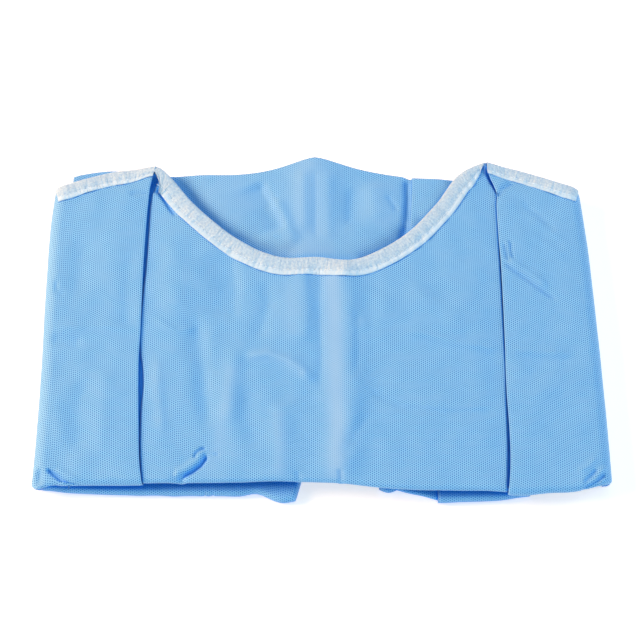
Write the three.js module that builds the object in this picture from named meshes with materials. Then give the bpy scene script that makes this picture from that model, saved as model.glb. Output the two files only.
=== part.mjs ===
// A disposable surgical gown, folded flat into a pack and lying face up on its hidden layers.
//
// Millimetres, +Z up. The neck points to +Y and the front fold to -Y. The origin is the middle of
// the pack on the table. The chest panel lies in the middle with its neck scoop, the two back
// panels lie over its sides and go down round the pack, and the skirt shows behind the scoop.

import * as THREE from 'three';

// ---- Driving dimensions ------------------------------------------------------------------------

const TOP = 20;              // upper face of the chest panel above the table
const CLOTH = 1.2;           // wall of the gown cloth
const TAPE = 1.0;            // wall of the neck binding
const TAPE_WIDTH = 14;       // from the folded neck edge to the tape's stitched edge
const TAPE_TURN = 9;         // how far the tape reaches under the cloth
const GAP = 0.35;            // between neighbouring pieces
const LAP = 0.5;             // between a piece and what is laid or sewn over it

const SIDE_RADIUS = 9;       // roll of the back panels over the pack's sides
const SIDE_DROP = 5.5;       // straight part of the side below that roll
const SIDE_TUCK = 2.5;       // radius where the side turns in above the table
const FRONT_RADIUS = 3.2;    // roll of the front fold
const TAIL = 2;              // cloth past the side tuck
const FRONT_TAIL = 4;        // cloth past the front roll

const PANEL_HALF = 133;      // half width of the chest panel, its sides hidden by the back panels
const CREASE_DIP = 1.0;      // how far the chest panel sinks beside the back panels
const PLEAT = 0.95;          // mid radius of the back panels' inner fold
const PLEAT_DEPTH = 12.5;    // cloth turned under at that fold
const SKIRT_TOP = 15;        // upper face of the skirt behind the scoop
const SKIRT_FRONT = 30;      // where the skirt layer ends under the chest panel
const SKIRT_PLEAT = 1.3;     // mid radius of the skirt's back fold
const BUMP_HEIGHT = 6;       // rise of the skirt in the middle of its back fold
const BUMP_REACH = 12.8;     // how far that rise stands out to the back
const CORE_BACK = 9.4;       // top of the hidden layers under the skirt
const CORE_FRONT = 16;       // top of the hidden layers under the chest panel
const CORE_STEP = [0, 8, 16, 24];    // levels of y over which that top steps down to the skirt's
const STRIP_TOP = 8.7;       // top of the sleeve strips under the front fold
const STRIP_DEPTH = 20;      // how far a sleeve strip reaches in under the pack

const PEAK_DROOP = 4;        // how far the chest panel's hidden back corners sink
const SIDE_RAISE = 0.6;      // middle of a back panel above the upper face, away from its fold
const RAISE_FADE = [6, 34];  // distances from that fold over which it comes down to there
const PEAKS = [-117.6, 122.6];       // ends of the scoop's binding
const SKIRT_SPAN = [-182.5, 84];     // sides of the skirt layer behind the scoop
const SKIRT_LAP_EDGE = [65, 68];     // upright edge of the skirt's right part, front and back
const SKIRT_RIGHT = 178;             // right side of that part
const SKIRT_BEND = 2;                // radius where that part goes down behind
const PANEL_LEVELS = [-110, 115];    // where a back panel's front and back ends are measured
const LINE_ENDS = { side: -118, crease: -126, front: 186 };   // past these the lines are level

// Outline lines as [x, y] or [y, x] points, joined by smooth pieces.
const NECKLINE = [
  [-PANEL_HALF, 109], [-119.5, 122], [-90.5, 90], [-60, 62.5], [-31, 48], [-2, 47.5],
  [26, 46], [60.5, 65], [84.5, 91], [99, 112.5], [112, 122], [124, 125], [PANEL_HALF, 117],
];
const FRONT_LINE = [[-186, -122], [-140, -122], [-55, -121], [-30, -119], [9, -121], [52, -126],
  [112, -127], [140, -128], [186, -121]];
const SIDE_LEFT = [[-120, 192.5], [-60, 192.5], [20, 194.5], [70, 195.5], [105, 194]];
const SIDE_RIGHT = [[-120, 195.5], [-70, 195.5], [0, 194.5], [60, 193], [105, 190]];
const CREASE_LEFT = [[-124, 116.5], [-90, 119.5], [-60, 122.5], [-10, 124.5], [106, 123.5],
  [124, 119.5]];
const CREASE_RIGHT = [[-132, 125], [-90, 127.5], [-20, 128.5], [60, 129.5], [98, 130.5],
  [124, 124.5]];
const BACK_LEFT = [[117, 123], [150, 121], [174, 113.5], [188, 108], [215, 102]];
const BACK_RIGHT = [[122, 126.5], [144, 122], [162, 115.5], [188, 105], [215, 100]];
const SKIRT_BACK = [[-183, 117], [-55, 117.5], [0, 118], [60, 117], [115, 112], [150, 107],
  [179, 98]];
const SLEEVE_LEFT_NOSE = [[-184, -123], [-150, -126], [-54, -127], [-42, -126], [-21, -131.5],
  [-14, -129.5]];
const SLEEVE_RIGHT_NOSE = [[79, -131.8], [121, -130], [142, -127]];
const SKIRT_EDGE_NOSE = [[54, -120.5], [78, -129]];
const TUCK_NOSE = [[40, -122.5], [46, -124.5], [52, -123]];

// The largest soft folds of the upper side: start, end, half width and height of each.
const SOFT_FOLDS = [
  { from: [25, 24], to: [24, -92], width: 9, height: 1.5 },
  { from: [24, -92], to: [12, -119], width: 8, height: 1.2 },
  { from: [-84, -8], to: [-77, -92], width: 9, height: -1.3 },
  { from: [-24, -74], to: [-24, -117], width: 8, height: 0.9 },
  { from: [-92, -121], to: [-76, -104], width: 5, height: -1.4 },
];

const COLOURS = { cloth: 0x7db7e5, shade: 0x5f9fd6, tape: 0xdfe9f4 };

// ---- Lines and steps ---------------------------------------------------------------------------

const step = THREE.MathUtils.smoothstep;
const mix = THREE.MathUtils.lerp;

/** The whole numbers from 0 to count as fractions of count. */
function fractions(count) {
  return Array.from({ length: count + 1 }, (_, i) => i / count);
}

/** Height at x of the smooth line through the points, which runs on straight past its ends. */
function along(points, x) {
  const last = points.length - 1;
  let i = 0;
  while (i < last - 1 && x > points[i + 1][0]) i += 1;
  const slope = (k) => {
    const before = points[Math.max(k - 1, 0)];
    const after = points[Math.min(k + 1, last)];
    return (after[1] - before[1]) / (after[0] - before[0]);
  };
  const [x0, y0] = points[i];
  const [x1, y1] = points[i + 1];
  if (x < x0) return y0 + (x - x0) * slope(0);
  if (x > x1) return y1 + (x - x1) * slope(last);
  const span = x1 - x0;
  const t = (x - x0) / span;
  const bend = t * (1 - t) * span;
  const chord = (y1 - y0) / span;
  return y0 + (y1 - y0) * t
    + bend * ((slope(i) - chord) * (1 - t) - (slope(i + 1) - chord) * t);
}

/** How much longer the line is than its run along x, for widths measured square to it. */
function stretch(points, x) {
  const slope = (along(points, x + 1) - along(points, x - 1)) / 2;
  return Math.hypot(1, slope);
}

/** Sum of the soft folds at a place on the upper side. */
function softFolds(x, y) {
  let sum = 0;
  for (const { from, to, width, height } of SOFT_FOLDS) {
    const [dx, dy] = [to[0] - from[0], to[1] - from[1]];
    const t = ((x - from[0]) * dx + (y - from[1]) * dy) / (dx * dx + dy * dy);
    const near = THREE.MathUtils.clamp(t, 0, 1);
    const far = Math.hypot(x - from[0] - near * dx, y - from[1] - near * dy);
    sum += height * Math.exp(-((far / width) ** 2));
  }
  return sum;
}

// ---- The form the upper cloth lies on ----------------------------------------------------------

const SIDE_LENGTH = SIDE_RADIUS * Math.PI / 2 + SIDE_DROP + SIDE_TUCK * Math.PI / 2 + TAIL;
const FRONT_LENGTH = FRONT_RADIUS * Math.PI + FRONT_TAIL;

/** Height of the chest panel's upper face, before the sides and the front roll down. */
function upperFace(x, y) {
  const side = Math.abs(x);
  const droop = PEAK_DROOP * step(side, 118, 140) * step(y, 98, 124);
  return TOP - CREASE_DIP * step(side, 106, 124) - droop + softFolds(x, y);
}

/** Section of a side: how far out and down the cloth is after a length, and its outward normal. */
function sideSection(length) {
  const roll = SIDE_RADIUS * Math.PI / 2;
  const tuck = SIDE_TUCK * Math.PI / 2;
  if (length < roll) {
    const angle = length / SIDE_RADIUS;
    const [s, c] = [Math.sin(angle), Math.cos(angle)];
    return { out: SIDE_RADIUS * s, down: SIDE_RADIUS * (1 - c), normal: [s, c] };
  }
  if (length < roll + SIDE_DROP) {
    return { out: SIDE_RADIUS, down: SIDE_RADIUS + length - roll, normal: [1, 0] };
  }
  const angle = Math.min((length - roll - SIDE_DROP) / SIDE_TUCK, Math.PI / 2);
  const [s, c] = [Math.sin(angle), Math.cos(angle)];
  const past = Math.max(length - roll - SIDE_DROP - tuck, 0);
  return {
    out: SIDE_RADIUS - SIDE_TUCK * (1 - c) - past,
    down: SIDE_RADIUS + SIDE_DROP + SIDE_TUCK * s,
    normal: [c, -s],
  };
}

/** Section of the front fold, a half round and a short tail. */
function frontSection(length) {
  const angle = Math.min(length / FRONT_RADIUS, Math.PI);
  const [s, c] = [Math.sin(angle), Math.cos(angle)];
  const past = Math.max(length - FRONT_RADIUS * Math.PI, 0);
  return { out: FRONT_RADIUS * s - past, down: FRONT_RADIUS * (1 - c), normal: [s, c] };
}

/** Where the side roll starts, as a distance from the middle. */
function sideStart(sign, y) {
  return along(sign < 0 ? SIDE_LEFT : SIDE_RIGHT, Math.max(y, LINE_ENDS.side)) - SIDE_RADIUS;
}

/** Where the front roll starts. */
function frontStart(x) {
  return along(FRONT_LINE, THREE.MathUtils.clamp(x, -LINE_ENDS.front, LINE_ENDS.front)) + FRONT_RADIUS;
}

/**
 * Lays a flat point of cloth on the pack: it keeps to the upper face, and past the sides and the
 * front it goes down round them. raise is its distance above that face.
 */
function drape(x, y, raise) {
  const sign = Math.sign(x) || 1;
  const edge = sideStart(sign, y);
  const front = frontStart(x);
  const over = Math.max(Math.abs(x) - edge, 0) / SIDE_LENGTH;
  const under = Math.max(front - y, 0) / FRONT_LENGTH;
  const baseX = over > 0 ? sign * edge : x;
  const baseY = under > 0 ? front : y;
  const height = upperFace(baseX, baseY);
  const t = Math.max(over, under);
  if (t === 0) return new THREE.Vector3(x, y, height + raise);
  const turn = over >= under ? under / over * Math.PI / 4 : Math.PI / 2 - over / under * Math.PI / 4;
  const [s, c] = [Math.sin(turn), Math.cos(turn)];
  const side = sideSection(t * SIDE_LENGTH);
  const fore = frontSection(t * FRONT_LENGTH);
  const down = side.down * c * c + fore.down * s * s;
  const normal = new THREE.Vector3(
    sign * side.normal[0] * c, -fore.normal[0] * s, side.normal[1] * c * c + fore.normal[1] * s * s);
  const point = new THREE.Vector3(baseX + sign * side.out * c, baseY - fore.out * s, height - down);
  return point.addScaledVector(normal.normalize(), raise);
}

// ---- Solids from sheets of points --------------------------------------------------------------

/** A mesh of one sub-part. */
function piece(name, geometry, colour) {
  const material = new THREE.MeshStandardMaterial({ color: colour, roughness: 0.8, metalness: 0 });
  const mesh = new THREE.Mesh(geometry, material);
  mesh.name = name;
  return mesh;
}

/** A geometry of vertices and faces, with its faces turned outwards. */
function solid(vertices, faces) {
  let volume = 0;
  for (const [a, b, c] of faces) {
    volume += vertices[a].dot(new THREE.Vector3().crossVectors(vertices[b], vertices[c]));
  }
  const outward = volume > 0 ? faces : faces.map(([a, b, c]) => [a, c, b]);
  const geometry = new THREE.BufferGeometry().setFromPoints(vertices);
  geometry.setIndex(outward.flat());
  geometry.computeVertexNormals();
  return geometry;
}

/** Closes a sheet of middle points into a wall of even thickness. */
function wall(rows, thickness) {
  const [m, n] = [rows.length, rows[0].length];
  const at = (i, j) => rows[Math.min(Math.max(i, 0), m - 1)][Math.min(Math.max(j, 0), n - 1)];
  const upper = [];
  const lower = [];
  for (let i = 0; i < m; i += 1) {
    for (let j = 0; j < n; j += 1) {
      const u = at(i + 1, j).clone().sub(at(i - 1, j));
      const v = at(i, j + 1).clone().sub(at(i, j - 1));
      const normal = u.cross(v).normalize();
      upper.push(at(i, j).clone().addScaledVector(normal, thickness / 2));
      lower.push(at(i, j).clone().addScaledVector(normal, -thickness / 2));
    }
  }
  const faces = [];
  const quad = (a, b, c, d) => faces.push([a, b, c], [a, c, d]);
  const below = m * n;
  for (let i = 0; i < m - 1; i += 1) {
    for (let j = 0; j < n - 1; j += 1) {
      const k = i * n + j;
      quad(k, k + n, k + n + 1, k + 1);
      quad(below + k, below + k + 1, below + k + n + 1, below + k + n);
    }
  }
  for (let i = 0; i < m - 1; i += 1) {
    const [a, b] = [i * n, i * n + n - 1];
    quad(a, below + a, below + a + n, a + n);
    quad(b, b + n, below + b + n, below + b);
  }
  for (let j = 0; j < n - 1; j += 1) {
    const [a, b] = [j, (m - 1) * n + j];
    quad(a, a + 1, below + a + 1, below + a);
    quad(b, below + b, below + b + 1, b + 1);
  }
  return solid([...upper, ...lower], faces);
}

/**
 * A solid through rings of equal count. Each ring runs up its left side and back down its right
 * side, and the first and last are closed by straight rungs from side to side.
 */
function ringSolid(rings) {
  const count = rings[0].length;
  const faces = [];
  for (let k = 0; k < rings.length - 1; k += 1) {
    for (let i = 0; i < count; i += 1) {
      const [a, b] = [k * count + i, k * count + (i + 1) % count];
      faces.push([a, b, b + count], [a, b + count, a + count]);
    }
  }
  const top = (rings.length - 1) * count;
  for (let i = 0; i < count / 2 - 1; i += 1) {
    const far = count - 1 - i;
    faces.push([i, far, far - 1], [i, far - 1, i + 1]);
    faces.push([top + i, top + far - 1, top + far], [top + i, top + i + 1, top + far - 1]);
  }
  return solid(rings.flat(), faces);
}

// ---- Chest panel and its binding ---------------------------------------------------------------

/** The chest panel, from the neck scoop to the rolled front fold. */
function frontPanel() {
  const inset = TAPE + 2 * GAP;
  const rows = fractions(26).map((u) => {
    const x = mix(-PANEL_HALF, PANEL_HALF, u);
    const back = along(NECKLINE, x) - inset * stretch(NECKLINE, x);
    const front = frontStart(x);
    const flat = fractions(11).map((v) => mix(back, front, v));
    const roll = fractions(8).slice(1).map((v) => front - v * FRONT_LENGTH);
    return [...flat, ...roll].map((y) => drape(x, y, -CLOTH / 2));
  });
  return piece('front_panel', wall(rows, CLOTH), COLOURS.cloth);
}

/** Section of the binding over an edge: distance in from the edge and height from mid cloth. */
function bindingSection() {
  const lift = CLOTH / 2 + LAP + TAPE / 2;
  const nose = TAPE / 2;
  return [
    [TAPE_WIDTH, lift], [TAPE_WIDTH / 2, lift], [nose + 1, lift], [nose, lift / 2],
    [nose, -lift / 2], [nose + 1, -lift], [TAPE_TURN, -lift],
  ];
}

/** The binding along the neck scoop, from peak to peak. */
function frontBinding() {
  const rows = fractions(28).map((u) => {
    const x = mix(...PEAKS, u);
    const edge = along(NECKLINE, x);
    const wide = stretch(NECKLINE, x);
    return bindingSection().map(([inward, lift]) => drape(x, edge - inward * wide, lift - CLOTH / 2));
  });
  return piece('neck_binding_front', wall(rows, TAPE), COLOURS.tape);
}

// ---- Back panels and their bindings ------------------------------------------------------------

/** The lines of one back panel. */
function backLines(sign) {
  return sign < 0
    ? { crease: CREASE_LEFT, back: BACK_LEFT }
    : { crease: CREASE_RIGHT, back: BACK_RIGHT };
}

/** Middle of the back panel above the upper face, at a distance out from its inner fold. */
function backRaise(out) {
  return mix(LAP + CLOTH / 2 + 2 * PLEAT, SIDE_RAISE, step(out, ...RAISE_FADE));
}

/** A back panel: turned under at its inner fold, flat on the pack, and down round side and front. */
function backPanel(name, sign) {
  const { crease, back } = backLines(sign);
  const turn = PLEAT + CLOTH / 2;
  const low = LAP + CLOTH / 2;
  const trim = TAPE_WIDTH + 3;
  const columns = [
    { out: PLEAT_DEPTH, raise: low, short: trim },
    { out: PLEAT_DEPTH / 2, raise: low, short: trim },
    { out: turn, raise: low, short: trim },
    { out: turn - PLEAT * Math.SQRT1_2, raise: low + PLEAT * (1 - Math.SQRT1_2), short: trim * 0.8 },
    { out: turn - PLEAT, raise: low + PLEAT, short: trim * 0.5 },
    { out: turn - PLEAT * Math.SQRT1_2, raise: low + PLEAT * (1 + Math.SQRT1_2), short: trim * 0.2 },
    { out: turn, raise: low + 2 * PLEAT, short: 0 },
    ...[10, 22, 36].map((out) => ({ out, raise: backRaise(out), short: 0 })),
    ...fractions(9).map((v) => ({ round: v * SIDE_LENGTH, raise: SIDE_RAISE, short: 0 })),
  ];
  const inset = TAPE + 2 * GAP;
  const rows = columns.map(({ out, round, raise, short }) => {
    const place = (y) => (round === undefined
      ? sign * (along(crease, Math.max(y, LINE_ENDS.crease)) + out)
      : sign * (sideStart(sign, y) + round));
    const top = along(back, Math.abs(place(PANEL_LEVELS[1]))) - inset - short;
    const front = frontStart(place(PANEL_LEVELS[0]));
    const near = [0, 5, 10, 16];
    const flat = [...near, ...fractions(5).map((v) => mix(26, top - front, v))].map((run) => top - run);
    const roll = fractions(7).slice(1).map((v) => front - v * FRONT_LENGTH);
    return [...flat, ...roll].map((y) => drape(place(y), y, raise));
  });
  return piece(name, wall(rows, CLOTH), COLOURS.cloth);
}

/** The binding along a back panel's neck edge, from the peak to the side roll. */
function backBinding(name, sign) {
  const { crease, back } = backLines(sign);
  const inner = along(crease, 118) + PLEAT + CLOTH / 2 + 0.4;
  const start = sideStart(sign, 104);
  const columns = [
    ...fractions(6).map((u) => mix(inner, start, u)),
    ...fractions(4).slice(1).map((u) => start + u * SIDE_RADIUS * 0.8),
  ];
  const rows = columns.map((x) => {
    const edge = along(back, x);
    const wide = stretch(back, x);
    return bindingSection().map(([inward, lift]) => {
      const y = edge - inward * wide;
      return drape(sign * x, y, backRaise(x - along(crease, y)) + lift);
    });
  });
  return piece(name, wall(rows, TAPE), COLOURS.tape);
}

// ---- Skirt behind the scoop --------------------------------------------------------------------

/** How much of the raised middle is at a place across the skirt. */
function bumpAcross(x) {
  const width = x < -4 ? 30 : 42;
  return Math.exp(-(((x + 4) / width) ** 2));
}

/** Height of the skirt's upper face behind the scoop. */
function skirtFace(x, y) {
  const sink = 1.4 * step(Math.abs(x), 80, 105);
  return SKIRT_TOP - sink + BUMP_HEIGHT * bumpAcross(x) * step(y, 60, 126);
}

/** Back fold line of the skirt. */
function skirtBack(x) {
  return along(SKIRT_BACK, x) + BUMP_REACH * bumpAcross(x);
}

/** The skirt layer: from under the chest panel to its back fold, and turned under there. */
function skirtFold() {
  const rows = fractions(24).map((u) => {
    const x = mix(...SKIRT_SPAN, u);
    const back = skirtBack(x) - 3 * step(x, 60, 66) - SKIRT_PLEAT - CLOTH / 2;
    const face = (y) => skirtFace(x, y) - CLOTH / 2;
    const over = fractions(6).map((v) => {
      const y = mix(SKIRT_FRONT, back, v);
      return new THREE.Vector3(x, y, face(y));
    });
    const turn = fractions(4).slice(1).map((v) => new THREE.Vector3(
      x, back + SKIRT_PLEAT * Math.sin(v * Math.PI),
      face(back) - SKIRT_PLEAT * (1 - Math.cos(v * Math.PI))));
    const under = [12, 24].map((run) => new THREE.Vector3(
      x, back - run, face(back) - 2 * SKIRT_PLEAT - run / 24 * (face(back) - SKIRT_TOP) * 0.9));
    return [...over, ...turn, ...under];
  });
  return piece('skirt_fold', wall(rows, CLOTH), COLOURS.cloth);
}

/** The skirt's right part, over the first layer and down behind it. */
function skirtFoldRight() {
  const rows = fractions(8).map((u) => {
    const lift = CLOTH / 2 + GAP;
    const fold = (y) => mix(mix(...SKIRT_LAP_EDGE, step(y, 60, 115)), SKIRT_RIGHT, u);
    const back = skirtBack(fold(115)) - SKIRT_BEND - CLOTH / 2;
    const over = fractions(6).map((v) => {
      const y = mix(SKIRT_FRONT, back, v);
      return new THREE.Vector3(fold(y), y, skirtFace(fold(y), y) + lift);
    });
    const face = skirtFace(fold(back), back) + lift;
    const turn = fractions(3).slice(1).map((v) => new THREE.Vector3(
      fold(back), back + SKIRT_BEND * Math.sin(v * Math.PI / 2),
      face - SKIRT_BEND * (1 - Math.cos(v * Math.PI / 2))));
    const end = new THREE.Vector3(fold(back), back + SKIRT_BEND, face - SKIRT_BEND - 3);
    return [...over, ...turn, end];
  });
  return piece('skirt_fold_right', wall(rows, CLOTH), COLOURS.cloth);
}

// ---- Strips under the front fold ---------------------------------------------------------------

/** A folded strip under the front fold: a flat hairpin whose nose follows a line. */
function strip(name, nose, [start, end], height, columns, colour) {
  const half = (height - CLOTH) / 2;
  const rows = fractions(columns).map((u) => {
    const x = mix(start, end, u);
    const axis = along(nose, x) + half * 0.9 + CLOTH / 2;
    const middle = GAP + height / 2;
    const turn = fractions(6).map((v) => new THREE.Vector3(
      x, axis - half * 0.9 * Math.sin(v * Math.PI), middle + half * Math.cos(v * Math.PI)));
    const inner = (z) => new THREE.Vector3(x, axis + STRIP_DEPTH - half, z);
    return [inner(middle + half), ...turn, inner(middle - half)];
  });
  return piece(name, wall(rows, CLOTH), colour);
}

/** The four strips that show below the front fold. */
function strips() {
  const full = STRIP_TOP - GAP;
  return [
    strip('sleeve_left', SLEEVE_LEFT_NOSE, [-183, -14], full, 16, COLOURS.shade),
    strip('sleeve_right', SLEEVE_RIGHT_NOSE, [79.5, 142], full, 6, COLOURS.shade),
    strip('skirt_edge_right', SKIRT_EDGE_NOSE, [54, 79], full - 3, 4, COLOURS.shade),
    strip('skirt_tuck', TUCK_NOSE, [40, 52], full - 1.5, 4, COLOURS.shade),
  ];
}

// ---- Hidden layers -----------------------------------------------------------------------------

/** How far a rounded corner draws in, at a distance from the line it ends on. */
function cornerInset(radius, distance) {
  return distance >= radius ? 0 : radius - Math.sqrt(radius ** 2 - (radius - distance) ** 2);
}

/** A rounded rectangle, up its left side and down its right side at the same levels of y. */
function outline({ left, right, front, back }, { fore, backLeft, backRight }) {
  const arc = fractions(4).map((v) => 1 - Math.cos(v * Math.PI / 2));
  const levels = [
    ...arc.map((v) => front + fore * v), ...CORE_STEP,
    ...arc.map((v) => back - backRight * v).reverse(),
  ];
  const leftSide = levels.map((y) => new THREE.Vector3(
    left + cornerInset(fore, y - front) + cornerInset(backLeft, back - y), y, 0));
  const rightSide = levels.map((y) => new THREE.Vector3(
    right - cornerInset(fore, y - front) - cornerInset(backRight, back - y), y, 0));
  return [...leftSide, ...rightSide.reverse()];
}

/** All the layers that don't show: one rounded solid, with layered edges. */
function foldedLayers() {
  const layers = 3;
  const radii = { fore: 14, backLeft: 8, backRight: 30 };
  const topAt = (y) => mix(CORE_FRONT, CORE_BACK, step(y, CORE_STEP[0], CORE_STEP[3]));
  const rings = fractions(layers * 4).map((w) => {
    const part = (w * layers) % 1;
    const groove = 1.6 * (1 - Math.sqrt(1 - (2 * part - 1) ** 2));
    const side = mix(15, 3, step(w, 0.1, 0.3)) + 9 * step(w, 0.6, 1) ** 2;
    const front = mix(27, 14, step(w, 0.56, 0.62));
    const box = {
      left: -192.5 + side + groove, right: 192 - side - groove,
      front: -122 + front, back: 114 - groove,
    };
    return outline(box, radii).map((p) => p.setZ(w * topAt(p.y)));
  });
  return piece('folded_layers', ringSolid(rings), COLOURS.shade);
}

// ---- The gown ----------------------------------------------------------------------------------

const gown = new THREE.Group();
gown.name = 'surgical_gown';
gown.add(
  foldedLayers(),
  skirtFold(),
  skirtFoldRight(),
  ...strips(),
  frontPanel(),
  frontBinding(),
  backPanel('back_panel_left', -1),
  backPanel('back_panel_right', 1),
  backBinding('neck_binding_left', -1),
  backBinding('neck_binding_right', 1),
);

// The pack stands on the table, with its middle over the origin.
const box = new THREE.Box3().setFromObject(gown);
gown.position.set(-(box.min.x + box.max.x) / 2, -(box.min.y + box.max.y) / 2, -box.min.z);

export default gown;
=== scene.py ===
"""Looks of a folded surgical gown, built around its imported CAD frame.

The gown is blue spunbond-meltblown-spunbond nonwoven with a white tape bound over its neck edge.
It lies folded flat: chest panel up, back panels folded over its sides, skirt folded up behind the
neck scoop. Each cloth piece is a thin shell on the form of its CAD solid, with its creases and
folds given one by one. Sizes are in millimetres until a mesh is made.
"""

import logging
import math
from dataclasses import dataclass, field
from enum import Enum

import bpy
import numpy as np
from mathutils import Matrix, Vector


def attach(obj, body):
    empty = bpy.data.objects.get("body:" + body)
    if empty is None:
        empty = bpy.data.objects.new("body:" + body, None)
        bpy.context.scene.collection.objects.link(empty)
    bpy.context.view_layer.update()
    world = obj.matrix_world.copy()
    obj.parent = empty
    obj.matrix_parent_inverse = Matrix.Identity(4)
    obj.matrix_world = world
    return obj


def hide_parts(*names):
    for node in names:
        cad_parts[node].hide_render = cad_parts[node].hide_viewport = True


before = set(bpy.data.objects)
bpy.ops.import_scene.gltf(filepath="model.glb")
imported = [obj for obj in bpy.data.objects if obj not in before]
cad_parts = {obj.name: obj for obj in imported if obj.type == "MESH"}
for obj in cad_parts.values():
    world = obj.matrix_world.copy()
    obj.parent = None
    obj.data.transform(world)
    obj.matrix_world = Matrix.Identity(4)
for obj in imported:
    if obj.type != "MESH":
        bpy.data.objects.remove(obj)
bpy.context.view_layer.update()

log = logging.getLogger("folded_gown")

MM = 0.001
CLOTH_MAP = "cloth"
# attribute of painted highlight, which pales the cloth and fades its dots on slopes facing the
# light
PAINTED_HIGHLIGHT = "painted_highlight"
SHIFT = np.array([-0.094, 0.490, 0.0])   # from the drawing's origin to the middle of the pack

Array = np.ndarray


# ---- Lines, steps and noise ---------------------------------------------------------------------


def mix(a: Array | float, b: Array | float, t: Array | float) -> Array | float:
    """Blends from a to b as t goes from 0 to 1."""
    return a + (b - a) * t


def step(x: Array | float, low: float, high: float) -> Array:
    """Rises smoothly from 0 at low to 1 at high."""
    t = np.clip((np.asarray(x, float) - low) / (high - low), 0.0, 1.0)
    return t * t * (3.0 - 2.0 * t)


def spread(*stops: tuple[float, float]) -> Array:
    """Makes a row of places from stops.

    Args:
        stops: pairs of a place and the spacing wanted from there to the next stop.

    Returns:
        The places, with every stop among them.
    """
    row = [stops[0][0]]
    for (a, spacing), (b, _) in zip(stops, stops[1:]):
        count = max(1, round(abs(b - a) / spacing))
        row.extend(np.linspace(a, b, count + 1)[1:])
    return np.array(row)


@dataclass(frozen=True)
class SmoothLine:
    """A smooth line through points, running on straight past its ends."""

    points: tuple[tuple[float, float], ...]

    def at(self, x: Array | float) -> Array:
        """Finds the line's value.

        Args:
            x: places along the line.

        Returns:
            The value at each place.
        """
        xs, ys = np.array(self.points).T
        last = len(xs) - 1
        before = np.maximum(np.arange(last + 1) - 1, 0)
        after = np.minimum(np.arange(last + 1) + 1, last)
        slopes = (ys[after] - ys[before]) / (xs[after] - xs[before])
        x = np.asarray(x, float)
        i = np.clip(np.searchsorted(xs, x) - 1, 0, last - 1)
        span = xs[i + 1] - xs[i]
        t = (x - xs[i]) / span
        chord = (ys[i + 1] - ys[i]) / span
        bend = t * (1 - t) * span
        inside = mix(ys[i], ys[i + 1], t) + bend * (
            (slopes[i] - chord) * (1 - t) - (slopes[i + 1] - chord) * t
        )
        low = ys[0] + (x - xs[0]) * slopes[0]
        high = ys[last] + (x - xs[last]) * slopes[last]
        return np.where(x < xs[0], low, np.where(x > xs[last], high, inside))

    def stretch(self, x: Array | float) -> Array:
        """How much longer the line is than its run along x."""
        return np.hypot(1.0, (self.at(x + 1.0) - self.at(x - 1.0)) / 2.0)


class SoftNoise:
    """Smooth seeded unevenness of one wavelength."""

    def __init__(self, seed: int, wavelength: float, waves: int = 9) -> None:
        """Draws the waves.

        Args:
            seed: start of the random draws.
            wavelength: rough distance between neighbouring highs.
            waves: how many waves are added up.
        """
        draw = np.random.default_rng(seed)
        angles = draw.uniform(0, 2 * np.pi, waves)
        sizes = 2 * np.pi / (wavelength * draw.uniform(0.75, 1.35, waves))
        self.kx, self.ky = sizes * np.cos(angles), sizes * np.sin(angles)
        self.phases = draw.uniform(0, 2 * np.pi, waves)

    def at(self, x: Array, y: Array) -> Array:
        """Finds the unevenness.

        Args:
            x: places across.
            y: places along.

        Returns:
            The value at each place, mostly between -1 and 1.
        """
        x, y = np.broadcast_arrays(np.asarray(x, float), np.asarray(y, float))
        total = np.zeros(x.shape)
        for kx, ky, phase in zip(self.kx, self.ky, self.phases):
            total += np.sin(kx * x + ky * y + phase)
        return total / math.sqrt(len(self.phases) * 1.6)


@dataclass(frozen=True)
class Crease:
    """A soft ridge or trough along a path, with its own width on each hand."""

    path: tuple[tuple[float, float], ...]
    left: float
    right: float
    height: float
    taper: float = 12.0

    def lift(self, x: Array, y: Array) -> Array:
        """Height that the crease adds.

        Args:
            x: places across the pack.
            y: places along the pack.

        Returns:
            The added height at each place, negative in a trough.
        """
        best = np.full(np.shape(x), 1e9)
        side = np.zeros(np.shape(x))
        run = np.zeros(np.shape(x))
        total = 0.0
        for (x0, y0), (x1, y1) in zip(self.path, self.path[1:]):
            dx, dy = x1 - x0, y1 - y0
            length = math.hypot(dx, dy)
            t = np.clip(((x - x0) * dx + (y - y0) * dy) / length**2, 0, 1)
            away = np.hypot(x - x0 - t * dx, y - y0 - t * dy)
            hand = np.sign(dx * (y - y0) - dy * (x - x0))
            closer = away < best
            best = np.where(closer, away, best)
            side = np.where(closer, hand, side)
            run = np.where(closer, total + t * length, run)
            total += length
        width = np.where(side > 0, self.left, self.right)
        ends = step(run, 0, self.taper) * step(total - run, 0, self.taper)
        return self.height * ends * np.exp(-((best / width) ** 2))


def creased(creases: tuple[Crease, ...], x: Array, y: Array) -> Array:
    """Sum of several creases at each place."""
    x, y = np.broadcast_arrays(np.asarray(x, float), np.asarray(y, float))
    return sum((crease.lift(x, y) for crease in creases), np.zeros(x.shape))


# ---- The form that the upper cloth lies on ------------------------------------------------------


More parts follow.
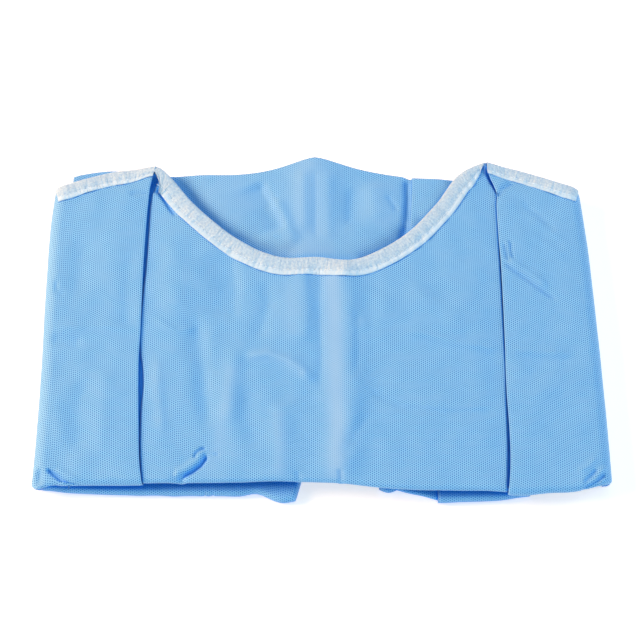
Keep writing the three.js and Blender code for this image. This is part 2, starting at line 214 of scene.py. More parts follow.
@dataclass(frozen=True)
class Pack:
    """The folded pack's sizes and the form of its upper side, close to the CAD solids'."""

    top: float = 20.0
    cloth: float = 1.2
    tape_width: float = 14.0
    side_radius: float = 9.0
    side_drop: float = 5.5
    side_tuck: float = 2.5
    side_tail: float = 2.0
    front_radius: float = 3.2
    front_tail: float = 4.0
    panel_half: float = 133.0
    crease_dip: float = 1.0
    peak_droop: float = 4.0
    broad_height: float = 0.5
    middling_height: float = 0.22
    pleat_depth: float = 12.5
    neckline: SmoothLine = SmoothLine((
        (-133, 109), (-119.5, 122), (-90.5, 90), (-60, 62.5), (-31, 48), (-2, 47.5), (26, 46),
        (60.5, 65), (84.5, 91), (99, 112.5), (112, 122), (124, 125), (133, 117)))
    front: SmoothLine = SmoothLine((
        (-186, -122), (-140, -122), (-55, -121.4), (-30, -120.8), (9, -121.8), (52, -126),
        (112, -127), (140, -128), (186, -121)))
    side_left: SmoothLine = SmoothLine((
        (-120, 192.5), (-60, 192.5), (20, 194.5), (70, 195.5), (105, 194)))
    side_right: SmoothLine = SmoothLine((
        (-120, 195.5), (-70, 195.5), (0, 194.5), (60, 193), (105, 190)))
    crease_left: SmoothLine = SmoothLine((
        (-124, 117.8), (-105, 120.6), (-79, 122.4), (-52, 124.0), (-30, 124.9), (-10, 124.8),
        (36, 125.3), (70, 125.1), (90, 124.6), (106, 123.5), (124, 119.5)))
    crease_right: SmoothLine = SmoothLine((
        (-132, 124), (-121, 125.8), (-106, 127.2), (-85, 127.8), (-60, 127.5), (-41, 127.7),
        (-17, 128.3), (14, 128.7), (43, 128.8), (61, 128.3), (90, 128.2), (98, 129.0),
        (106, 127.0), (113, 124.6), (124, 122.0)))
    back_left: SmoothLine = SmoothLine((
        (117, 123), (150, 121), (174, 113.5), (188, 108), (215, 102)))
    back_right: SmoothLine = SmoothLine((
        (122, 126.5), (144, 122), (162, 115.5), (188, 105), (215, 100)))
    broad: SoftNoise = field(default_factory=lambda: SoftNoise(3, 74.0))
    middling: SoftNoise = field(default_factory=lambda: SoftNoise(11, 22.0))
    creases: tuple[Crease, ...] = (
        # the raised middle: a broad bright left flank and a steep right one
        Crease(((16, 46), (18, 20), (20, -10), (21, -50), (20, -80), (17, -100), (13, -114),
                (11, -124)), 10, 13, 3.3, 14),
        Crease(((1, 40), (0, 10), (1, -30), (0, -60)), 3, 3, -0.9, 14),
        Crease(((26, 8), (27, -20), (25, -48)), 3, 4, -0.9, 12),
        Crease(((46, 22), (44, -2), (40, -26)), 6, 7, 1.0, 14),
        Crease(((34, -72), (24, -88), (15, -108)), 4, 5, -0.9, 10),
        # a raised patch left of the middle, its lower rim running down to the ridge
        Crease(((-13, 42), (-10, 10), (-11, -24)), 5, 11, 2.0, 12),
        Crease(((-38, 34), (-36, 10), (-44, -20)), 5, 6, -1.3, 12),
        Crease(((-54, -31), (-36, -29), (-22, -34), (-12, -41), (-5, -51)), 4, 3, 1.8, 10),
        # soft troughs and ridges further left
        Crease(((-88, 6), (-83, -25), (-78, -62), (-76, -88)), 6, 7, -2.0, 18),
        Crease(((-57, -20), (-60, -50), (-62, -84)), 7, 7, 1.7, 14),
        Crease(((-113, -25), (-111, -55), (-106, -90)), 4, 5, 1.1, 12),
        Crease(((-52, -50), (-48, -78), (-40, -100)), 8, 8, -1.3, 14),
        Crease(((-29, -60), (-26, -92), (-27, -122)), 9, 6, 1.7, 10),
        Crease(((-118, 0), (-100, -12), (-84, -8)), 2.4, 2.6, 0.8, 8),
        Crease(((-108, 84), (-101, 40), (-98, -6)), 26, 10, 1.8, 24),
        Crease(((-66, 56), (-61, 22), (-63, -6)), 6, 20, -2.1, 16),
        # sharp pull lines at the front fold, left
        Crease(((-99, -122), (-92.5, -118.5), (-85.5, -114.5), (-80, -110), (-76.8, -105),
                (-77, -100.5)), 1.5, 1.3, -3.0, 5),
        Crease(((-100, -117), (-90, -112), (-84, -107), (-80.5, -101), (-79.5, -97)), 2.2, 4.0,
               1.6, 6),
        Crease(((-97, -112), (-98, -117), (-97, -122)), 1.2, 1.2, -0.9, 2),
        Crease(((-84.6, -106), (-83, -101), (-79.5, -98), (-76, -97.5)), 1.2, 1.2, -1.7, 2.5),
        Crease(((-70, -104), (-69, -100)), 1.4, 1.4, -0.9, 2),
        Crease(((-16, -113), (-14, -118), (-15, -124)), 1.4, 1.4, -1.0, 3),
        Crease(((13, -112), (14, -118), (13, -124)), 1.3, 1.3, -1.3, 3),
        # fold lines across the chest, left by its folding
        Crease(((58, -10), (90, -18), (107, -22), (127, -25)), 2.0, 2.4, 0.95, 10),
        Crease(((58, -15), (90, -23), (107, -27), (127, -30)), 2.2, 2.6, -0.5, 10),
        Crease(((34, -56), (58, -69), (90, -72), (122, -71)), 2.4, 2.8, -0.9, 10),
        Crease(((60, 26), (88, 4), (104, -15)), 7, 9, 1.0, 18),
        Crease(((70, 50), (84, 20), (80, -10)), 9, 9, -0.8, 18),
    )

    @property
    def side_length(self) -> float:
        """Measures the cloth of a side.

        Returns:
            Its length from the start of the side's roll to the end of the tuck.
        """
        quarter = math.pi / 2
        return (self.side_radius * quarter + self.side_drop + self.side_tuck * quarter
                + self.side_tail)

    @property
    def front_length(self) -> float:
        """Cloth from the start of the front roll to the end of its tail."""
        return self.front_radius * math.pi + self.front_tail

    def upper_face(self, x: Array, y: Array) -> Array:
        """Height of the chest panel's CAD upper face with the creases and unevenness added.

        Args:
            x: places across the pack.
            y: places along the pack.

        Returns:
            The height at each place.
        """
        side = np.abs(x)
        droop = self.peak_droop * step(side, 118, 140) * step(y, 98, 124)
        uneven = (self.broad_height * self.broad.at(x, y)
                  + self.middling_height * self.middling.at(x, y))
        calm = 1 - 0.6 * step(y, 85, 115)
        return (self.top - self.crease_dip * step(side, 106, 124) - droop
                + creased(self.creases, x, y) + uneven * calm)

    def side_section(self, length: Array) -> tuple[Array, Array, Array, Array]:
        """Section of a side's roll.

        Args:
            length: cloth length from the start of the roll.

        Returns:
            How far out, how far down, and the outward and upward parts of the normal.
        """
        r, tuck = self.side_radius, self.side_tuck
        roll = r * math.pi / 2
        a = np.clip(length / r, 0, math.pi / 2)
        b = np.clip((length - roll - self.side_drop) / tuck, 0, math.pi / 2)
        straight = np.clip(length - roll, 0, self.side_drop)
        past = np.maximum(length - roll - self.side_drop - tuck * math.pi / 2, 0)
        out = r * np.sin(a) - tuck * (1 - np.cos(b)) - past
        down = r * (1 - np.cos(a)) + straight + tuck * np.sin(b)
        rolled = length < roll
        normal_out = np.where(rolled, np.sin(a), np.cos(b))
        normal_up = np.where(rolled, np.cos(a), -np.sin(b))
        return out, down, normal_out, normal_up

    def front_section(self, length: Array) -> tuple[Array, Array, Array, Array]:
        """Section of the front roll.

        Args:
            length: cloth length from the start of the roll.

        Returns:
            The same four rows as side_section gives.
        """
        r = self.front_radius
        a = np.clip(length / r, 0, math.pi)
        past = np.maximum(length - r * math.pi, 0)
        return r * np.sin(a) - past, r * (1 - np.cos(a)), np.sin(a), np.cos(a)

    def side_start(self, sign: Array, y: Array) -> Array:
        """Where the side roll starts, as a distance from the middle."""
        y = np.maximum(y, -118)
        return np.where(sign < 0, self.side_left.at(y), self.side_right.at(y)) - self.side_radius

    def front_start(self, x: Array) -> Array:
        """Where the front roll starts."""
        return self.front.at(np.clip(x, -186, 186)) + self.front_radius

    def drape(self, x: Array, y: Array, rise: Array | float) -> Array:
        """Lays flat points of cloth on the pack.

        Args:
            x: flat places across.
            y: flat places along.
            rise: distance above the upper face, square to it.

        Returns:
            The points, in millimetres, with one more axis of length three.
        """
        x, y, rise = np.broadcast_arrays(
            np.asarray(x, float), np.asarray(y, float), np.asarray(rise, float))
        sign = np.where(x < 0, -1.0, 1.0)
        edge, front = self.side_start(sign, y), self.front_start(x)
        over = np.maximum(np.abs(x) - edge, 0) / self.side_length
        under = np.maximum(front - y, 0) / self.front_length
        base_x = np.where(over > 0, sign * edge, x)
        base_y = np.where(under > 0, front, y)
        t = np.maximum(over, under)
        smaller = np.minimum(over, under) / np.maximum(t, 1e-9) * math.pi / 4
        turn = np.where(over >= under, smaller, math.pi / 2 - smaller)
        s, c = np.sin(turn), np.cos(turn)
        s, c = np.where(t > 0, s, 0.0), np.where(t > 0, c, 1.0)
        out, down, n_out, n_up = self.side_section(t * self.side_length)
        fore, fall, n_fore, n_top = self.front_section(t * self.front_length)
        normal = np.stack([sign * n_out * c, -n_fore * s, n_up * c * c + n_top * s * s], -1)
        normal /= np.maximum(np.linalg.norm(normal, axis=-1, keepdims=True), 1e-9)
        point = np.stack([
            base_x + sign * out * c,
            base_y - fore * s,
            self.upper_face(base_x, base_y) - down * c * c - fall * s * s,
        ], -1)
        return point + normal * rise[..., None]


PACK = Pack()


# ---- Finishes -----------------------------------------------------------------------------------


class Slot(Enum):
    """Names for material slots, which nothing in the script uses."""

    CLOTH = "gown_cloth"
    TAPE = "binding_tape"


def node(tree: bpy.types.NodeTree, kind: str, values: dict | None = None,
         **settings: object) -> bpy.types.Node:
    """Adds a node.

    Args:
        tree: the node tree.
        kind: the node's type name.
        values: input values by name or index.
        settings: the node's own settings.

    Returns:
        The new node.
    """
    made = tree.nodes.new(kind)
    for name, value in settings.items():
        setattr(made, name, value)
    for key, value in (values or {}).items():
        made.inputs[key].default_value = value
    return made


def calculate(tree: bpy.types.NodeTree, operation: str, *terms: object) -> bpy.types.NodeSocket:
    """Adds a math node.

    Args:
        tree: the node tree.
        operation: the math node's operation.
        terms: sockets or numbers, in order.

    Returns:
        The node's output.
    """
    made = node(tree, "ShaderNodeMath", operation=operation)
    for place, term in enumerate(terms):
        if isinstance(term, bpy.types.NodeSocket):
            tree.links.new(term, made.inputs[place])
        else:
            made.inputs[place].default_value = term
    return made.outputs[0]


def blend_colours(tree: bpy.types.NodeTree, factor: bpy.types.NodeSocket, a: object,
                  b: object) -> bpy.types.NodeSocket:
    """Adds a colour mix.

    Args:
        tree: the node tree.
        factor: the blend from a to b.
        a: a colour or a socket.
        b: a colour or a socket.

    Returns:
        The mixed colour's socket.
    """
    made = node(tree, "ShaderNodeMix", data_type="RGBA")
    tree.links.new(factor, made.inputs[0])
    for place, colour in ((6, a), (7, b)):
        if isinstance(colour, bpy.types.NodeSocket):
            tree.links.new(colour, made.inputs[place])
        else:
            made.inputs[place].default_value = (*colour, 1.0)
    return made.outputs[2]


def painted_crevice_shade(tree: bpy.types.NodeTree, most: float) -> bpy.types.NodeSocket:
    """Adds a mask for painted shade in narrow folds, coloured as by light bounced between cloths.

    Args:
        tree: the material's nodes.
        most: the mask's value deep in a fold.

    Returns:
        The mask, 0 in the open.
    """
    open_sky = node(tree, "ShaderNodeAmbientOcclusion", {"Distance": 0.015}, samples=6)
    mask = node(tree, "ShaderNodeMapRange", {
        "From Min": 0.92, "From Max": 0.38, "To Min": 0.0, "To Max": most})
    tree.links.new(open_sky.outputs["AO"], mask.inputs[0])
    return mask.outputs[0]


@dataclass(frozen=True)
class BondedCloth:
    """Blue nonwoven with a staggered lattice of embossed bond dots, painted shade and highlights.
    """

    name: str = "blue_nonwoven"
    colour: tuple[float, float, float] = (0.268, 0.542, 0.815)
    dot_colour: tuple[float, float, float] = (0.01, 0.15, 0.50)
    cloud_colour: tuple[float, float, float] = (0.313, 0.572, 0.825)
    # painted shade: the deep blue laid into narrow folds and crevices by the occlusion mask
    crevice_shade_colour: tuple[float, float, float] = (0.003, 0.27, 0.88)
    # painted highlight: a paler colour, with fainter dots, on bands that face the light
    highlight_colour: tuple[float, float, float] = (0.335, 0.525, 0.76)
    highlight_dot_fade: float = 0.72
    crevice_shade_share: float = 0.95
    pitch: float = 1.62
    roughness: float = 0.62
    sheen: float = 0.5
    dot_depth: float = 0.00012
    fibre_depth: float = 0.00004

    def build(self) -> bpy.types.Material:
        """Makes the material.

        Returns:
            The finished material, which reads the piece's own flat cloth coordinates.
        """
        material = bpy.data.materials.new(self.name)
        material.use_nodes = True
        tree = material.node_tree
        shader = tree.nodes["Principled BSDF"]
        flat = node(tree, "ShaderNodeUVMap", uv_map=CLOTH_MAP).outputs[0]
        # painted highlight: read per point, it fades the dots and pales the ground
        painted_highlight = node(tree, "ShaderNodeAttribute", attribute_name=PAINTED_HIGHLIGHT).outputs["Fac"]
        dots = calculate(tree, "MULTIPLY", self.dots(tree, flat), calculate(
            tree, "MULTIPLY_ADD", painted_highlight, -self.highlight_dot_fade, 1.0))
        cloud = node(tree, "ShaderNodeTexNoise", {"Scale": 55.0, "Detail": 3.0, "Roughness": 0.6})
        tree.links.new(flat, cloud.inputs["Vector"])
        clouded = calculate(tree, "MULTIPLY_ADD", cloud.outputs[0], 2.2, -0.6)
        ground = blend_colours(tree, calculate(tree, "MINIMUM", calculate(
            tree, "MAXIMUM", clouded, 0.0), 1.0), self.colour, self.cloud_colour)
        ground = blend_colours(tree, painted_highlight, ground, self.highlight_colour)
        dotted = blend_colours(tree, dots, ground, self.dot_colour)
        # painted shade: darkens narrow folds and crevices to deep blue
        colour = blend_colours(tree, painted_crevice_shade(tree, self.crevice_shade_share), dotted, self.crevice_shade_colour)
        tree.links.new(colour, shader.inputs["Base Color"])
        fibres = node(tree, "ShaderNodeTexNoise", {"Scale": 2600.0, "Detail": 4.0})
        tree.links.new(flat, fibres.inputs["Vector"])
        height = calculate(tree, "SUBTRACT",
                           calculate(tree, "MULTIPLY", fibres.outputs[0], self.fibre_depth),
                           calculate(tree, "MULTIPLY", dots, self.dot_depth))
        bump = node(tree, "ShaderNodeBump", {"Strength": 1.0, "Distance": 1.0})
        tree.links.new(height, bump.inputs["Height"])
        tree.links.new(bump.outputs[0], shader.inputs["Normal"])
        shader.inputs["Roughness"].default_value = self.roughness
        shader.inputs["Sheen Weight"].default_value = self.sheen
        shader.inputs["Sheen Roughness"].default_value = 0.4
        shader.inputs["Sheen Tint"].default_value = (0.8, 0.9, 1.0, 1.0)
        shader.inputs["Specular IOR Level"].default_value = 0.35
        return material

    def dots(self, tree: bpy.types.NodeTree, flat: bpy.types.NodeSocket) -> bpy.types.NodeSocket:
        """Adds the lattice of dots.

        Args:
            tree: the material's nodes.
            flat: flat cloth coordinates, in metres.

        Returns:
            A mask, 1 in the middle of each dot.
        """
        wave = 2 * math.pi / (self.pitch * MM * math.sqrt(0.75))
        total: object = 0.0
        for turn in (0.0, 60.0, 120.0):
            angle = math.radians(turn)
            along = node(tree, "ShaderNodeVectorMath", operation="DOT_PRODUCT")
            tree.links.new(flat, along.inputs[0])
            along.inputs[1].default_value = (wave * math.cos(angle), wave * math.sin(angle), 0.0)
            total = calculate(tree, "ADD", calculate(tree, "COSINE", along.outputs["Value"]), total)
        mask = node(tree, "ShaderNodeMapRange", {"From Min": 0.0, "From Max": 1.9})
        mask.interpolation_type = "SMOOTHSTEP"
        tree.links.new(total, mask.inputs[0])
        return mask.outputs[0]


@dataclass(frozen=True)
class BindingTape:
    """White nonwoven tape, folded lengthways and a little crinkled across."""

    name: str = "white_tape"
    colour: tuple[float, float, float] = (0.72, 0.76, 0.80)
    low_colour: tuple[float, float, float] = (0.43, 0.53, 0.68)
    edge_colour: tuple[float, float, float] = (0.71, 0.78, 0.86)
    edge_width: float = 3.8
    edge_blur: float = 0.5
    edge_share: float = 0.75
    # painted shade: the blue laid into the tape's narrow folds by the occlusion mask
    crevice_shade_colour: tuple[float, float, float] = (0.25, 0.50, 0.85)
    crevice_shade_share: float = 0.6
    crinkle_depth: float = 0.00110
    fibre_depth: float = 0.00006
    roughness: float = 0.7

    def build(self) -> bpy.types.Material:
        """Makes the material.

        Returns:
            The finished material, which reads the tape's own flat coordinates.
        """
        material = bpy.data.materials.new(self.name)
        material.use_nodes = True
        tree = material.node_tree
        shader = tree.nodes["Principled BSDF"]
        flat = node(tree, "ShaderNodeUVMap", uv_map=CLOTH_MAP).outputs[0]
        patches = node(tree, "ShaderNodeTexNoise", {
            "Scale": 620.0, "Detail": 4.0, "Roughness": 0.7})
        tree.links.new(flat, patches.inputs["Vector"])
        clear = node(tree, "ShaderNodeMapRange", {"From Min": 0.34, "From Max": 0.66})
        tree.links.new(patches.outputs[0], clear.inputs[0])
        patched = blend_colours(tree, clear.outputs[0], self.low_colour, self.colour)
        across = node(tree, "ShaderNodeSeparateXYZ")
        tree.links.new(flat, across.inputs[0])
        by_edge = node(tree, "ShaderNodeMapRange", {
            "From Min": (self.edge_width + self.edge_blur) * MM,
            "From Max": (self.edge_width - self.edge_blur) * MM,
            "To Min": 0.0, "To Max": self.edge_share})
        tree.links.new(across.outputs["Y"], by_edge.inputs[0])
        patched = blend_colours(tree, by_edge.outputs[0], patched, self.edge_colour)
        # painted shade: darkens the tape's narrow folds to blue
        folded = blend_colours(tree, painted_crevice_shade(tree, self.crevice_shade_share), patched, self.crevice_shade_colour)
        tree.links.new(folded, shader.inputs["Base Color"])
        squeeze = node(tree, "ShaderNodeMapping", {"Scale": (1.0, 0.25, 1.0)})
        tree.links.new(flat, squeeze.inputs["Vector"])
        crinkles = node(tree, "ShaderNodeTexNoise", {"Scale": 520.0, "Detail": 3.0})
        tree.links.new(squeeze.outputs[0], crinkles.inputs["Vector"])
        fibres = node(tree, "ShaderNodeTexNoise", {"Scale": 3000.0, "Detail": 4.0})
        tree.links.new(flat, fibres.inputs["Vector"])
        height = calculate(
            tree, "ADD", calculate(tree, "MULTIPLY", crinkles.outputs[0], self.crinkle_depth),
            calculate(tree, "MULTIPLY", fibres.outputs[0], self.fibre_depth))
        bump = node(tree, "ShaderNodeBump", {"Strength": 1.0, "Distance": 1.0})
        tree.links.new(height, bump.inputs["Height"])
        tree.links.new(bump.outputs[0], shader.inputs["Normal"])
        shader.inputs["Roughness"].default_value = self.roughness
        shader.inputs["Sheen Weight"].default_value = 0.2
        shader.inputs["Specular IOR Level"].default_value = 0.3
        return material


@dataclass(frozen=True)
class Thread:
    """White polyester sewing thread."""

    name: str = "white_thread"
    colour: tuple[float, float, float] = (0.93, 0.95, 0.97)
    shade: float = 0.86

    def build(self) -> bpy.types.Material:
        """Makes the material, with the faint twist of the yarn.

        Returns:
            The finished material.
        """
        material = bpy.data.materials.new(self.name)
        material.use_nodes = True
        tree = material.node_tree
        shader = tree.nodes["Principled BSDF"]
        place = node(tree, "ShaderNodeTexCoord").outputs["Object"]
        twist = node(tree, "ShaderNodeTexNoise", {"Scale": 4000.0, "Detail": 2.0})
        tree.links.new(place, twist.inputs["Vector"])
        dim = tuple(self.shade * part for part in self.colour)
        tree.links.new(blend_colours(tree, twist.outputs[0], dim, self.colour),
                       shader.inputs["Base Color"])
        shader.inputs["Roughness"].default_value = 0.55
        return material


@dataclass
class Finishes:
    """The three materials, each made once."""

    cloth: bpy.types.Material = field(default_factory=lambda: BondedCloth().build())
    tape: bpy.types.Material = field(default_factory=lambda: BindingTape().build())
    thread: bpy.types.Material = field(default_factory=lambda: Thread().build())


# ---- Meshes -------------------------------------------------------------------------------------


def sheet_object(name: str, points: Array, flat: Array, thickness: float,
                 material: bpy.types.Material, painted_highlight: Array | None = None) -> bpy.types.Object:
    """Makes a cloth shell from a grid of points.

    Args:
        name: the piece's name.
        points: rows of points in millimetres, in the drawing's place.
        flat: the same points on the flat cloth, in millimetres.
        thickness: wall of the shell, in millimetres.
        material: its finish.
        painted_highlight: strength of a painted highlight at each point, 0 to 1.

    Returns:
        The object, smooth shaded, with its flat map and its wall.
    """
    rows, columns = points.shape[:2]
    mesh = bpy.data.meshes.new(name)
    index = np.arange(rows * columns).reshape(rows, columns)
    quads = np.stack([index[:-1, :-1], index[1:, :-1], index[1:, 1:], index[:-1, 1:]], -1)
    vertices = (points.reshape(-1, 3) + SHIFT) * MM
    mesh.from_pydata(vertices.tolist(), [], quads.reshape(-1, 4).tolist())
    layer = mesh.uv_layers.new(name=CLOTH_MAP)
    corners = np.empty(len(mesh.loops), dtype=np.int64)
    mesh.loops.foreach_get("vertex_index", corners)
    layer.data.foreach_set("uv", (flat.reshape(-1, 2)[corners] * MM).ravel())
    # painted highlight, stored per point for the cloth material
    if painted_highlight is not None:
        highlight_layer = mesh.attributes.new(PAINTED_HIGHLIGHT, "FLOAT", "POINT")
        highlight_layer.data.foreach_set("value", np.clip(painted_highlight, 0, 1).astype(np.float32).ravel())
    mesh.materials.append(material)
    mesh.shade_smooth()
    mesh.validate()
    made = bpy.data.objects.new(name, mesh)
    bpy.context.scene.collection.objects.link(made)
    wall = made.modifiers.new("wall", "SOLIDIFY")
    wall.thickness = thickness * MM
    wall.offset = 0.0
    wall.use_even_offset = True
    wall.thickness_clamp = 1.0
    return made


def declare(piece: bpy.types.Object, nodes: tuple[str, ...]) -> None:
    """Rides a piece on the root body, hides the CAD nodes it replaces and logs its face count.

    Args:
        piece: the finished piece.
        nodes: the CAD nodes it replaces.
    """
    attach(piece, "root")
    if nodes:
        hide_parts(*nodes)
    log.info("%s: %d faces", piece.name, len(piece.data.polygons))


# ---- Chest panel --------------------------------------------------------------------------------

FINE_FROM = 0.88    # share of a panel's length from which its rows lie closer
ROLL_ROWS = 21      # rows round the front roll


def panel_rows(count: int, fine: int) -> tuple[Array, Array]:
    """Spaces the rows of a panel.

    Args:
        count: rows in its even part.
        fine: rows in the closer part before the front roll.

    Returns:
        Shares of the way to the front roll, and shares of the way round it.
    """
    down = np.concatenate([np.linspace(0, FINE_FROM, count), np.linspace(FINE_FROM, 1, fine)[1:]])
    return down, np.linspace(0, 1, ROLL_ROWS)[1:]


@dataclass
class ChestPanel:
    """The gown's front, from the neck scoop down to the rolled front fold."""

    thickness: float = 0.5
    spacing: float = 1.5
    sink: float = 4.2
    edge_inset: float = 1.7
    body: float = 216.0
    peak: float = 124.0
    peak_reach: float = 2.8
    peak_raise: float = 5.6
    gap_left: SmoothLine = SmoothLine((
        (-126, -0.6), (-105, -0.1), (-92, 0.0), (-79, 0.6), (-66, 1.4), (-52, 2.7), (-38, 2.2),
        (-28, 0.4), (-17, -0.8), (-7, -0.8), (22, 0.2), (36, 1.2), (66, 1.6), (89, 1.2),
        (100, 1.8), (110, 3.4)))
    gap_right: SmoothLine = SmoothLine((
        (-126, 0.6), (-107, 1.0), (-85, 0.6), (-60, -0.3), (-41, -0.8), (-17, -0.4), (14, -0.2),
        (43, -0.2), (61, -0.8), (95, -0.8), (110, 0.8)))
    hollows: tuple[Crease, ...] = (
        Crease(((-119, 112), (-119, 100)), 4.5, 4.5, 1.6, 1),
        Crease(((-119, 105), (-115.5, 98), (-109, 87), (-104, 80)), 1.3, 1.5, 1.8, 4),
    )
    # painted highlight bands, on the chest's slopes that face the light
    painted_highlight: tuple[Crease, ...] = (
        Crease(((9, 44), (10, 0), (11, -50), (12, -85), (11, -124)), 7, 7, 0.95, 8),
        Crease(((-62, -30), (-63, -62), (-70, -100), (-80, -122)), 7, 5, 0.5, 16),
        Crease(((-16, 38), (-19, 10), (-22, -24)), 9, 11, 0.4, 16),
        Crease(((-54, -31), (-36, -29), (-22, -34), (-12, -41), (-5, -51)), 4, 4, 0.45, 10),
        Crease(((-28, -64), (-26, -95), (-27, -124)), 5, 5, 0.5, 10),
        Crease(((-112, -25), (-110, -60), (-104, -95)), 6, 6, 0.3, 16),
    )

    def sunk(self, x: Array, y: Array) -> Array:
        """How far the panel sinks into the creases beside the back panels.

        Args:
            x: places across.
            y: places along.

        Returns:
            The depth at each place.
        """
        y_near = np.clip(y, -122, 118)
        left = PACK.crease_left.at(y_near) - self.gap_left.at(y_near)
        right = PACK.crease_right.at(y_near) - self.gap_right.at(y_near)
        beside = step(np.abs(x) - np.where(x < 0, left, right), -1.0, 0.9)
        front = step(PACK.front_start(x) - y, 0, 5)
        return (self.sink * beside + creased(self.hollows, x, y)) * (1 - 0.75 * front)

    def build(self, finishes: Finishes) -> bpy.types.Object:
        """Makes the panel.

        Args:
            finishes: the gown's materials.

        Returns:
            The panel.
        """
        half = PACK.panel_half
        x = spread((-half, 1.0), (-127, 0.5), (-112, self.spacing), (-96, 0.8),
                   (-72, self.spacing), (118, 0.5), (130, 1.0), (half, 1.0))
        back = PACK.neckline.at(x) - self.edge_inset * PACK.neckline.stretch(x)
        back = back + self.peak_raise * np.exp(-(((x - self.peak) / self.peak_reach) ** 2))
        front = PACK.front_start(x)[:, None]
        down, roll = panel_rows(round(self.body / self.spacing), 38)
        y = np.concatenate([
            mix(back[:, None], front, down[None]), front - roll[None] * PACK.front_length], 1)
        grid = np.broadcast_to(x[:, None], y.shape)
        points = PACK.drape(grid, y, -PACK.cloth / 2 - self.sunk(grid, y))
        flat = np.stack([grid, lengthways(points, down.size - 1, front[:, 0])], -1)
        piece = sheet_object("chest_panel", points, flat, self.thickness, finishes.cloth,
                             creased(self.painted_highlight, grid, y))
        declare(piece, ("front_panel",))
        return piece


# ---- Back panels --------------------------------------------------------------------------------


@dataclass
class BackPanel:
    """A back panel, turned under at its inner fold and taken down round the side and front."""

    sign: int
    label: str
    crease: SmoothLine
    back: SmoothLine
    creases: tuple[Crease, ...]
    front_ease: float
    corner: tuple[float, float, float]
    thickness: float = 0.5
    near: float = 12.0
    pleat: float = 0.62
    lap: float = 0.15
    raised: float = 0.6
    raise_fade: tuple[float, float] = (6.0, 34.0)
    hem: tuple[float, float] = (0.9, 3.0)

    def rise(self, out: Array) -> Array:
        """Middle of the upper cloth above the upper face, by distance from the inner fold."""
        return mix(self.lap + 2 * self.pleat, self.raised, step(out, *self.raise_fade))

    def columns(self) -> Array:
        """Lays out the cloth from its turned-under edge to the side's tuck.

        Returns:
            A row for each column: distance out from the inner fold, share of the flat part
            crossed, cloth past the start of the side's roll, rise and how far its back is short.
            The rise is not a number where it follows the distance out.
        """
        turn = self.pleat + PACK.cloth / 2
        low = self.lap
        trim = PACK.tape_width + 3
        made = [(out, 0, 0, low, trim) for out in np.linspace(PACK.pleat_depth, turn, 8)]
        for angle in np.radians(np.linspace(-90, 90, 13))[1:]:
            s, c = math.sin(angle), math.cos(angle)
            made.append((turn - self.pleat * c, 0, 0, low + self.pleat * (1 + s),
                         trim * ((1 - s) / 2) ** 3))
        made += [(out, 0, 0, math.nan, 0) for out in np.linspace(turn, self.near, 9)[1:]]
        made += [(self.near, share, 0, math.nan, 0) for share in np.linspace(0, 1, 60)[1:]]
        made += [(self.near, 1, past, math.nan, 0)
                 for past in np.linspace(0, PACK.side_length, 30)[1:]]
        return np.array(made).T

    def build(self, finishes: Finishes) -> bpy.types.Object:
        """Makes the back panel.

        Args:
            finishes: the gown's materials.

        Returns:
            The panel.
        """
        out, share, past, rise, short = (part[:, None] for part in self.columns())

        def place(y: Array) -> Array:
            """Finds each column's place.

            Args:
                y: levels along the pack.

            Returns:
                Each column's distance from the middle, at each level.
            """
            fold = self.crease.at(np.maximum(y, -126))
            start = PACK.side_start(np.full(np.shape(y), self.sign), y)
            return fold + out + share * (start - fold - self.near) + past

        level = np.full(out.shape, 115.0)
        hem = mix(*self.hem, step(out + past + 30 * share, 1, 8))
        top = self.back.at(place(level)) - hem - short
        front = PACK.front_start(self.sign * place(np.full(out.shape, -110.0)))
        reach = mix(0.3, 1.0, step(np.nan_to_num(rise, nan=9.0), self.lap,
                                   self.lap + 1.2 * self.pleat))
        down, roll = panel_rows(130, 44)
        y = np.concatenate([
            mix(top, front, down[None]), front - roll[None] * reach * PACK.front_length], 1)
        x = self.sign * place(y)
        away = np.abs(x) - self.crease.at(np.maximum(y, -126))
        height = np.where(np.isnan(rise), self.rise(away), rise) + creased(self.creases, x, y)
        points = PACK.drape(x, y, height)
        rolled = step(front - y, -6, 2)
        points[..., 1] += self.front_ease * (height - self.raised) * rolled
        middle, width, push = self.corner
        away = (np.abs(points[..., 0]) - middle) / width
        points[..., 1] -= push * rolled * np.exp(-(away ** 2))
        strides = np.linalg.norm(np.diff(points[:, points.shape[1] // 2], axis=0), axis=1)
        across = np.concatenate([[0.0], np.cumsum(strides)])
        flat = np.stack([np.broadcast_to(self.sign * across[:, None], y.shape),
                         lengthways(points, down.size - 1, front[:, 0])], -1)
        piece = sheet_object(f"back_panel_{self.label}_cloth", points, flat, self.thickness,
                             finishes.cloth)
        declare(piece, (f"back_panel_{self.label}",))
        return piece


# ---- Neck binding -------------------------------------------------------------------------------


